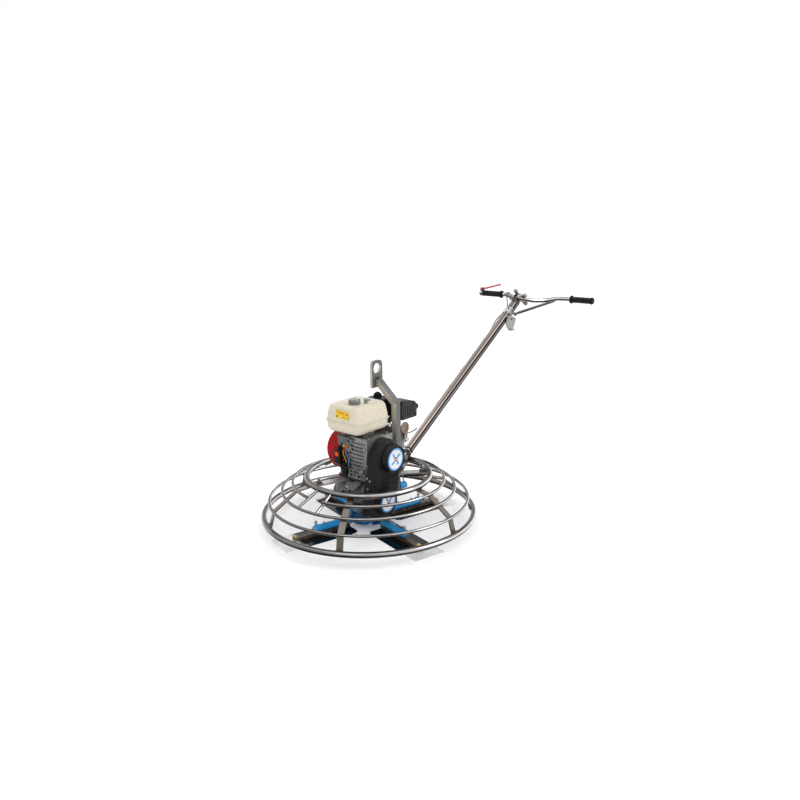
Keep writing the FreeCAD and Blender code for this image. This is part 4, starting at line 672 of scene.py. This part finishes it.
@piece("tank_fitting", "frame", "zinc")
def build_tank_fitting(shape):
    lathe(shape, [(0, 0), (10, 0), (10, 5), (7, 6), (7, 14), (9, 15), (9, 20), (5, 22), (0, 22)],
          (-36, -26, 568), Z_AXIS, 24)
    lathe(shape, [(0, 0), (4, 0), (4, 16), (5.4, 17), (5.4, 20), (3, 22), (0, 22)], (-36, -26, 583),
          (0.6, -0.8, 0.1), 16)
    lathe(shape, [(0, 0), (6, 0), (6, 3), (3, 5), (3, 9), (0, 9)], (-4, -8, 569), Z_AXIS, 20)


@piece("cap_trim", "fuel_cap", "zinc", 0.4)
def build_cap_trim(shape):
    for k in range(24):
        out = turned((25.4, 0, 0), 15 * k + 7.5)
        slab(shape, Vector((-80, 0, 580)) + out, Z_AXIS, out, (11, 2.2, 2.4))
    lathe(shape, [(17, 0), (20, 0), (20, 1.6), (17, 2.4), (10, 2.8), (9, 1.6), (0, 1.6)], (-80, 0, 590.4),
          Z_AXIS, 40)
    slab(shape, (-80, 0, 593), X_AXIS, Y_AXIS, (16, 5, 3))


# ------------------------------------------------------------------ engine front

@piece("control_shroud", "frame", "grey_cast", 2.2)
def build_shroud(shape):
    plate(shape, [(-96, 78, 372), (-58, 78, 426), (-40, 78, 434), (-30, 78, 420), (-60, 78, 366)], (0, 10, 0))
    slab(shape, (-108, 47, 402), Y_AXIS, Z_AXIS, (58, 44, 10))
    slab(shape, (-107, 40, 418), Y_AXIS, (0, 0.3, 1), (76, 12, 16))


@piece("control_cover", "frame", "black_plastic", 2.0)
def build_front_cover(shape):
    slab(shape, (-107, 50, 332), Y_AXIS, Z_AXIS, (48, 108, 8))
    slab(shape, (-110, 40, 262), Y_AXIS, Z_AXIS, (30, 36, 12))
    lathe(shape, [(0, 0), (26, 0), (26, 5), (22, 9), (0, 9)], (-103, 44, 330), MINUS_X, 28)


@piece("ignition_disc", "frame", "alloy", 0.6)
def build_ignition(shape):
    lathe(shape, [(0, 0), (21, 0), (21, 5), (19, 8), (14, 9), (13, 6), (6, 6), (5, 12), (0, 12)],
          (-105, 16, 377), MINUS_X, 32)
    for k in range(8):
        out = Vector((0, math.cos(k * math.pi / 4), math.sin(k * math.pi / 4)))
        slab(shape, Vector((-113, 16, 377)) + out * 16.5, out, X_AXIS, (6, 3, 3))
lathe_piece("ignition_button", "orange", [(0, 0), (6, 0), (6, 3), (4, 5), (0, 5.4)], (-113, 16, 379),
            MINUS_X, 24)
lathe_piece("ignition_plug", "yellow", [(0, 0), (6, 0), (6, 7), (4, 9), (0, 9)], (-108, 38, 381),
            (-1, 0.2, 0), 20)

WIRES = {
    "wire_red_run": ("wire_red", [(-112, 40, 384), (-118, 34, 368), (-121, 24, 352), (-119, 20, 336),
                                  (-122, 30, 322), (-118, 44, 314)], 1.5),
    "wire_blue_run": ("wire_blue", [(-114, 28, 366), (-121, 18, 358), (-123, 8, 342), (-121, 4, 322),
                                    (-118, 8, 304), (-113, 18, 292)], 1.7),
    "wire_yellow_run": ("wire_yellow", [(-113, 36, 378), (-120, 40, 362), (-123, 34, 344), (-120, 26, 326),
                                        (-115, 22, 308)], 1.4),
    "wire_dark_run": ("wire_black", [(-110, 46, 296), (-118, 36, 284), (-120, 20, 280), (-116, 8, 290),
                                     (-112, -2, 306)], 2.2),
    "plug_lead": ("wire_black", [(196, 26, 400), (206, 44, 412), (196, 66, 424), (160, 78, 428),
                                 (100, 88, 424), (66, 90, 418), (44, 92, 412)], 3.4),
    "fuel_hose": ("wire_black", [(18, 66, 444), (24, 76, 434), (44, 92, 428), (74, 100, 424), (98, 98, 412),
                                 (108, 92, 404)], 4.2),
    "governor_rod": ("zinc", [(40, 60, 430), (70, 76, 424), (104, 86, 419)], 1.3),
}
for wire_name, (wire_look, wire_points, wire_radius) in WIRES.items():
    line_piece(wire_name, "frame", wire_look, wire_points, wire_radius)


@piece("engine_bolts", "frame", "zinc")
def build_engine_bolts(shape):
    for place, direction, radius in (((-110, -82, 300), MINUS_X, 5.5), ((-110, -82, 388), MINUS_X, 5.0),
                                     ((-110, -4, 412), MINUS_X, 5.0), ((-104, -60, 250), MINUS_X, 5.5),
                                     ((-104, 20, 250), MINUS_X, 5.5), ((-103, 60, 372), MINUS_X, 4.0),
                                     ((-113, 64, 290), MINUS_X, 4.0), ((-86, -84, 425), Z_AXIS, 4.5),
                                     ((30, -84, 425), Z_AXIS, 4.5), ((50, 66, 425), Z_AXIS, 4.5),
                                     ((204, -36, 372), X_AXIS, 4.5), ((204, 30, 372), X_AXIS, 4.5),
                                     ((204, -36, 320), X_AXIS, 4.5), ((204, 30, 320), X_AXIS, 4.5)):
        hex_head(shape, place, direction, radius, 4.5)


@piece("oil_filler", "frame", "alloy", 0.5)
def build_oil_filler(shape):
    lathe(shape, [(0, 0), (13, 0), (13, 6), (9, 7), (9, 12), (12, 13), (12, 20), (9, 23), (0, 23)],
          (-104, -66, 276), (-1, 0, 0.45), 24)
    lathe(shape, [(0, 0), (9, 0), (9, 6), (0, 6)], (-104, -30, 258), MINUS_X, 6)


@piece("case_seams", "frame", "alloy", 1.4)
def build_case_seams(shape):
    slab(shape, (-103, -40, 427), Y_AXIS, Z_AXIS, (96, 5, 8))
    slab(shape, (-105, -88, 332), Z_AXIS, Y_AXIS, (180, 8, 8))
    slab(shape, (-105, 16, 322), Z_AXIS, Y_AXIS, (150, 6, 8))
    slab(shape, (-106, -36, 245), Y_AXIS, Z_AXIS, (112, 10, 8))
    for k in range(5):
        slab(shape, (-108, -78 + 22 * k, 262), Z_AXIS, Y_AXIS, (34, 5, 8))


# Dark slabs on the red housing stand for its air slots: painted shade where the openings are.
@piece("fan_slot_shade", "frame", "ink", 0.4)
def build_fan_slot_shade(shape):
    for k in range(6):
        angle = math.radians(130 + 24 * k)
        out = Vector((math.cos(angle), 0, math.sin(angle)))
        slab(shape, Vector((-20, 112, 339)) + out * 97.1, Y_AXIS, out.cross(Y_AXIS), (26, 6, 1.4))
    for k in range(5):
        slab(shape, (-104, 96, 300 + 15 * k), Y_AXIS, Z_AXIS, (10, 5, 30))


@piece("recoil_trim", "frame", "zinc")
def build_recoil_trim(shape):
    lathe(shape, [(0, 0), (25, 0), (25, 2), (20, 4), (6, 4.5), (5, 3), (0, 3)], (-20, 157, 339), Y_AXIS, 40)
    for k in range(6):
        angle = math.radians(60 * k + 20)
        hex_head(shape, (-20 + 90 * math.cos(angle), 134, 339 + 90 * math.sin(angle)), Y_AXIS, 4.2, 3.6)


@piece("exhaust_flange", "frame", "brown_cast", 0.8)
def build_head_flange(shape):
    lathe(shape, [(0, 0), (29, 0), (29, 4), (25, 7), (16, 8), (15, 4), (0, 4)], (186, -58, 410), MINUS_Y, 36)
    slab(shape, (186, -62, 376), Z_AXIS, X_AXIS, (34, 24, 10))


@piece("governor_links", "frame", "zinc", 0.5)
def build_linkage(shape):
    slab(shape, (180, -66, 366), (0.4, 0, 1), X_AXIS, (40, 9, 3))
    slab(shape, (196, -64, 350), (1, 0, 0.3), Z_AXIS, (30, 8, 3))
    lathe(shape, [(0, 0), (5, 0), (5, 9), (0, 9)], (186, -60, 352), MINUS_Y, 18)
    lathe(shape, [(0, 0), (4, 0), (4, 9), (0, 9)], (176, -62, 382), MINUS_Y, 18)


# ------------------------------------------------------------------ air cleaner and muffler

@piece("cleaner_trim", "frame", "black_plastic", 0.8)
def build_cleaner_trim(shape):
    for z in (452, 520):
        outline = []
        for x, y, start in ((174, 28, -90), (174, 88, 0), (106, 88, 90), (106, 28, 180)):
            for k in range(7):
                angle = math.radians(start + 15 * k)
                outline.append(Vector((x + 25.2 * math.cos(angle), y + 25.2 * math.sin(angle), 0)))
        plate(shape, [(p.x, p.y, z) for p in outline], (0, 0, 4))
    for k in range(7):
        slab(shape, (81.4, 26 + 11 * k, 486), Z_AXIS, Y_AXIS, (46, 4, 2.4))
        slab(shape, (106 + 11 * k, 3.4, 486), Z_AXIS, X_AXIS, (46, 4, 2.4))


@piece("muffler_trim", "frame", "black_sheet", 0.5)
def build_muffler_trim(shape):
    for k in range(6):
        slab(shape, (140 + 14 * k, -94.4, 500), Z_AXIS, X_AXIS, (48, 6, 1.6))
    for k in range(4):
        slab(shape, (232.4, -34 - 10 * k, 492), Z_AXIS, Y_AXIS, (34, 4, 1.6))
    for x, z in ((134, 476), (222, 476), (134, 540), (214, 526)):
        hex_head(shape, (x, -94, z), MINUS_Y, 3.6, 3)
    lathe(shape, [(9, 0), (13.6, 0), (13.6, 3), (9, 3)], (244, -79, 506), X_AXIS, 32)


# ------------------------------------------------------------------ gearbox and frame

@piece("gearbox_bolts", "frame", "zinc")
def build_gearbox_bolts(shape):
    for k in range(12):
        angle = 30 * k + 15
        place = turned((139, 0, 0), angle)
        if place.y > -92:
            hex_head(shape, (place.x, place.y, 205), Z_AXIS, 4.6, 4)
    for x, y in ((-92, 78), (-92, -78), (136, 80), (136, -78)):
        hex_head(shape, (x, y, 239), Z_AXIS, 6, 5, 2)
    for k in range(6):
        angle = math.radians(60 * k)
        hex_head(shape, (-60 + 31 * math.cos(angle), 126, 147 + 31 * math.sin(angle)), Y_AXIS, 3.6, 3.2)


def weld_arc(shape, centre, normal, side, radius, start, end, size, count=12):
    """A rippled bead around part of a round bar, in the plane of two directions."""
    rings = []
    for k in range(count + 1):
        angle = math.radians(start + (end - start) * k / count)
        out = normal * math.cos(angle) + side * math.sin(angle)
        tangent = side * math.cos(angle) - normal * math.sin(angle)
        across = out.cross(tangent)
        swell = size * (0.75 + 0.25 * (k % 2)) * (0.5 if k in (0, count) else 1)
        middle = centre + out * radius
        rings.append([shape.verts.new((middle + (out * math.cos(a) + across * math.sin(a)) * swell) * MM)
                      for a in (0, 1.05, 2.1, 3.14, 4.19, 5.24)])
    for low, high in zip(rings, rings[1:]):
        bridge(shape, low, high)
    shape.faces.new(rings[0][::-1])
    shape.faces.new(rings[-1])


RINGS = ((275, 228, 13), (339, 209, 6.5), (387, 173, 6.5), (446, 127, 6.5), (472, 58, 13))
SPOKE_ANGLES = (207, 273, 311, 49, 87, 153)


@piece("guard_welds", "frame", "weld")
def build_guard_welds(shape):
    for index, (radius, height, tube) in enumerate(RINGS):
        before = RINGS[max(index - 1, 0)]
        after = RINGS[min(index + 1, len(RINGS) - 1)]
        run = Vector((after[0] - before[0], 0, after[1] - before[1])).normalized()
        inward = Vector((run.z, 0, -run.x))
        for angle in SPOKE_ANGLES:
            for side in (-1, 1):
                turn = angle + side * math.degrees(14.5 / radius)
                centre = turned((radius, 0, height), turn)
                weld_arc(shape, centre, turned(inward, turn), turned(run, turn), tube, -80, 80,
                         2.2 if tube < 10 else 3.0)


@piece("guard_stays", "frame", "chrome", 0.6)
def build_guard_extras(shape):
    lathe(shape, [(0, 0), (5, 0), (5, 228), (0, 228)], (232, -114, 232), (0, 1, 0), 14)
    plate(shape, [(96, -118, 216), (150, -132, 216), (190, -176, 216), (172, -196, 216), (128, -188, 216),
                  (92, -150, 216)], (0, 0, 4))
    for angle in (160, 200, 45, 315):
        place = turned((243, 0, 0), angle)
        lathe(shape, [(0, 0), (5, 0), (5, 14), (3.6, 16), (0, 16)], (place.x, place.y, 243), Z_AXIS, 14)


@piece("post_welds", "frame", "weld")
def build_post_welds(shape):
    for x, y, z, axis in ((106, -76, 240, Z_AXIS), (106, -76, 556, Z_AXIS),
                          (68, -10, 646, Vector((-0.36, 0.64, 0.68)))):
        first, second = axes_for(axis)
        points = []
        for a, b in SQUARE + SQUARE[:1]:
            points.append(Vector((x, y, z)) + first * (a * 15) + second * (b * 15))
        for start, end in zip(points, points[1:]):
            for k in range(7):
                middle = start.lerp(end, (k + 0.5) / 7)
                lathe(shape, [(0, -2.6), (1.9, -1.6), (2.5, 0), (1.9, 1.6), (0, 2.6)], middle,
                      (end - start), 8)


# ------------------------------------------------------------------ rotor arms and blades

def build_arm_sleeve(shape, angle):
    """Outer tube of the arm with its end collars and the lug under the stud."""
    profile = [(13.2, 0), (17.5, 0), (17.5, 7), (16, 8.5), (16, 136), (17.5, 138), (17.5, 147), (13.2, 147)]
    lathe(shape, profile, turned((122, 0, 35), angle), turned(X_AXIS, angle), 40)
    lathe(shape, [(0, 0), (8, 0), (8, 14), (5, 16), (0, 16)], turned((277, 0, 38), angle), Z_AXIS, 24)


def build_arm_trim(shape, angle):
    for reach in (160, 236):
        hex_head(shape, turned((reach, 0, 50.6), angle), Z_AXIS, 5.2, 5)
    stud = [(0, 0), (4, 0), (4, 10), (6.5, 10), (6.5, 17), (3, 20), (0, 20)]
    lathe(shape, stud, turned((277, 0, 52), angle), Z_AXIS, 18)
    lathe(shape, [(0, 0), (9, 0), (9, 2), (6, 3), (0, 3)], turned((288, 0, 35), angle),
          turned(X_AXIS, angle), 24)


def build_rib_bolts(shape, angle):
    hex_head(shape, turned((376, 0, 22), angle), Z_AXIS, 6, 6)


def build_arm_rod(shape, angle):
    start, end = turned((116, 12, 51), angle), turned((250, 12, 51), angle)
    run = end - start
    lathe(shape, [(0, 0), (2.6, 0), (2.6, run.length), (0, run.length)], start, run, 14)
    for place in (start, end):
        lathe(shape, [(0, -12), (5, -12), (5, 4), (7, 4), (7, 7), (5, 8), (0, 8)], place, Z_AXIS, 18)


ARM_ANGLES = (75, 165, 255, 345)
for number, angle in enumerate(ARM_ANGLES, start=1):
    body = "arm_%d" % number
    mesh_piece("arm_%d_sleeve" % number, body, "blue", lambda s: build_arm_sleeve(s, angle))
    mesh_piece("arm_%d_trim" % number, body, "zinc", lambda s: build_arm_trim(s, angle))
    mesh_piece("rib_%d_bolts" % number, body, "yellow_zinc", lambda s: build_rib_bolts(s, angle))
    if number % 2:
        mesh_piece("arm_%d_rod" % number, body, "zinc", lambda s: build_arm_rod(s, angle))


# ------------------------------------------------------------------ handle

@piece("handle_band", "handle", "black_sheet", 0.5)
def build_handle_band(shape):
    for distance, width in ((44, 16), (66, 5)):
        for lift in (16, -16):
            slab(shape, on_handle(distance, lift), HANDLE_RUN, Y_AXIS, (width, 39, 2))
        for side in (-18.6, 18.6):
            slab(shape, on_handle(distance, 0, side), HANDLE_RUN, HANDLE_UP, (width, 34, 2))


@piece("cable_ties", "handle", "wire_black", 0.3)
def build_cable_ties(shape):
    for distance in range(140, 900, 120):
        slab(shape, on_handle(distance, 0, 19.2), HANDLE_UP, HANDLE_RUN, (26, 9, 1.4))
        for lift in (-5, 5):
            slab(shape, on_handle(distance, lift, 24), Y_AXIS, HANDLE_RUN, (9, 7, 1.4))
        slab(shape, on_handle(distance, 0, 28.4), HANDLE_UP, HANDLE_RUN, (10, 7, 1.2))


@piece("handle_hardware", "handle", "zinc", 0.4)
def build_handle_hardware(shape):
    for distance in (1080, 1108):
        hex_head(shape, on_handle(distance, 18, 0), HANDLE_UP, 4.6, 4)
        hex_head(shape, on_handle(distance, 0, -20.5), MINUS_Y, 4.6, 4)
    for place, radius, high in (((1106, -26, 806), 4, 3.4), ((1146, -26, 796), 4, 3.4),
                                ((1176, -33, 818), 4.5, 4)):
        hex_head(shape, place, MINUS_Y, radius, high)
    for side in (-1, 1):
        lathe(shape, [(12, -10), (14, -10), (14, 10), (12, 10)], (1230, side * 14, 902), (0.2, side, -0.3),
              28)


@piece("strut_sleeve", "handle", "dark_bar")
def build_strut_sleeve(shape):
    """Outer tube of the brace between the clamp and the handlebar, with flattened bolted ends."""
    start, end = Vector((1176, -26, 820)), Vector((1398, -150, 880))
    run = end - start
    length = run.length
    lathe(shape, [(0, 6), (5, 7), (7.5, 22), (7.5, length - 26), (5, length - 10), (0, length - 9)], start,
          run, 28)


@piece("grip_rings", "handle", "rubber")
def build_grip_rings(shape):
    """Mouldings round both grips; the end flange is left off where the hold-to-run lever comes down."""
    grip_x, grip_z = 1434, 886
    lathe(shape, [(16.2, -3), (19.4, -2), (19.4, 2), (16.2, 3)], (grip_x, -346, grip_z), Y_AXIS, 32)
    for side in (-1, 1):
        for k in range(16):
            lathe(shape, [(15.6, -1.8), (16.6, -0.9), (16.6, 0.9), (15.6, 1.8)],
                  (grip_x, side * (238 + 6.6 * k), grip_z), Y_AXIS, 32)


@piece("wheel_cap", "pitch_wheel", "zinc")
def build_wheel_cap(shape):
    lathe(shape, [(0, 0), (17, 0), (17, 2), (12, 5), (10, 5), (9, 3), (0, 3)], on_handle(1192 + 44),
          HANDLE_RUN, 32)

cable_points = [(1392, 158, 905), (1350, 140, 902), (1305, 110, 890), (1262, 78, 868), (1222, 52, 838),
                (1083.9, 36.5, 795.7), (1034.6, 26.5, 761.3), (989.6, 22.5, 729.7), (941.2, 25.5, 699.5),
                (892.9, 22.5, 669.3), (846.2, 25.5, 636.5), (797.8, 22.5, 606.3), (749.5, 25.5, 576.1),
                (702.8, 22.5, 543.4), (654.4, 25.5, 513.2), (606.1, 22.5, 483.0), (559.3, 25.5, 450.3),
                (511.0, 22.5, 420.1), (462.6, 25.5, 389.9), (415.9, 22.5, 357.1), (367.6, 25.5, 326.9)]
throttle_line = line_piece("throttle_line", "handle", "sheath", cable_points, 3)
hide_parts("throttle_cable")


loom_points = [(-123, 60, 299), (-124, 52, 278), (-118, 30, 268), (-117, 12, 285), (-118, 18, 322),
               (-119, 34, 362), (-117, 52, 394), (-102, 66, 402)]
loom = line_piece("switch_loom", "frame", "wire_black", loom_points, 2.5)
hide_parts("wiring_loom")

pitch_points = [(246, 0, 122), (242, 0, 142), (231, 0, 163), (220, 0, 182), (213, 0, 197)]
pitch_line = line_piece("pitch_line", "yoke", "sheath", pitch_points, 3)
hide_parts("pitch_cable")

tail_points = [(140, 100, 402), (178, 112, 384), (236, 112, 352), (296, 92, 328), (340, 64, 322),
               (366, 36, 335), (382, 25, 349)]
tail_line = line_piece("tail_line", None, "sheath", tail_points, 0)
tail_bent = line_piece("tail_bent", None, "sheath", tail_points, 3)
tail_path = [list(v.co) for v in bpy.data.meshes.new_from_object(tail_line).vertices]
tail = bpy.data.objects.new("throttle_tail", bpy.data.meshes.new_from_object(tail_bent))
scene.collection.objects.link(tail)
bpy.data.objects.remove(tail_line)
bpy.data.objects.remove(tail_bent)
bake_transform(tail)

handle_edges = nodes["handle_tube"].modifiers.new("welded", "WELD")
handle_edges.merge_threshold = 0.0001
handle_bevel = nodes["handle_tube"].modifiers.new("rounded", "BEVEL")
handle_bevel.width = 0.005
handle_bevel.segments = 4
handle_bevel.limit_method = "ANGLE"
handle_bevel.angle_limit = math.radians(50)

# ------------------------------------------------------------------ stage

def camera_axes(heading, pitch, yaw, roll):
    """Right, up and forward of the camera, all angles in degrees."""
    p, y, r, h = (math.radians(a) for a in (pitch, yaw, roll, heading))
    right = Vector((math.cos(y), -math.sin(y), 0))
    forward = Vector((math.sin(y) * math.cos(p), math.cos(y) * math.cos(p), -math.sin(p)))
    up = Vector((math.sin(y) * math.sin(p), math.cos(y) * math.sin(p), math.cos(p)))
    rolled_right = right * math.cos(r) + up * math.sin(r)
    rolled_up = up * math.cos(r) - right * math.sin(r)
    turn = Matrix.Rotation(-h, 3, "Z")
    return turn @ rolled_right, turn @ rolled_up, turn @ forward


CAMERA_LENS = 34.1636
CAMERA_ANGLES = (47.439, 14.285, 2.575, -0.614)
CAMERA_PLACE = (-2.380, -2.1855, 1.391)


def add_camera():
    data = bpy.data.cameras.new("main_camera")
    data.lens = CAMERA_LENS
    data.sensor_width = 36.0
    data.dof.use_dof = False
    camera = bpy.data.objects.new("main_camera", data)
    scene.collection.objects.link(camera)
    right, up, forward = camera_axes(*CAMERA_ANGLES)
    matrix = Matrix((right, up, -forward)).transposed().to_4x4()
    matrix.translation = Vector(CAMERA_PLACE)
    camera.matrix_world = matrix
    scene.camera = camera


def add_light(name, place, target, size, power):
    data = bpy.data.lights.new(name, "AREA")
    data.shape = "RECTANGLE"
    data.size, data.size_y = size
    data.energy = power
    light = bpy.data.objects.new(name, data)
    light.location = place
    light.rotation_euler = (Vector(target) - Vector(place)).to_track_quat("-Z", "Y").to_euler()
    scene.collection.objects.link(light)


def add_world():
    """White at the horizon, with darker bands overhead for the bright metal to reflect."""
    world = bpy.data.worlds.new("studio")
    scene.world = world
    world.use_nodes = True
    tree = world.node_tree
    background = next(n for n in tree.nodes if n.type == "BACKGROUND")
    coords = tree.nodes.new("ShaderNodeTexCoord")
    parts = tree.nodes.new("ShaderNodeSeparateXYZ")
    ramp = tree.nodes.new("ShaderNodeValToRGB")
    tree.links.new(coords.outputs["Generated"], parts.inputs[0])
    tree.links.new(parts.outputs["Z"], ramp.inputs["Fac"])
    stops = ((0.0, 1.0), (0.5, 1.0), (0.54, 0.3), (0.61, 0.25), (0.66, 1.4), (0.94, 1.4), (0.98, 0.7))
    elements = ramp.color_ramp.elements
    while len(elements) < len(stops):
        elements.new(0.5)
    for element, (position, value) in zip(elements, stops):
        element.position = position
        element.color = (value, value, value * 1.01, 1)
    tree.links.new(ramp.outputs["Color"], background.inputs["Color"])
    background.inputs["Strength"].default_value = 1.0


def add_floor():
    look = Look("pale_floor")
    tone = look.ramp(look.noise(0.9, 4), (0.3, 0.9), (0.7, 0.93))
    look.set(Emission_Color=(1.0, 1.0, 1.0), Emission_Strength=0.13, Specular_IOR_Level=0.1)
    look.set(Base_Color=tone, Roughness=0.85, Normal=look.bump(look.noise(60, 3), 0.02, 0.0005))
    mesh = bpy.data.meshes.new("studio_floor")
    shape = bmesh.new()
    bmesh.ops.create_circle(shape, cap_ends=True, segments=96, radius=30.0)
    shape.to_mesh(mesh)
    shape.free()
    mesh.materials.append(look.material)
    floor = bpy.data.objects.new("studio_floor", mesh)
    scene.collection.objects.link(floor)


add_camera()
add_world()
add_floor()
add_light("key_softbox", (1.6, -3.6, 2.8), (0.3, 0, 0.3), (2.0, 2.0), 42)
add_light("side_softbox", (-3.2, -1.2, 2.6), (0.1, 0, 0.3), (1.6, 1.6), 10)
add_light("back_softbox", (0.6, 3.2, 3.2), (0.3, 0, 0.3), (3.0, 1.6), 16)
scene.view_settings.view_transform = "Standard"
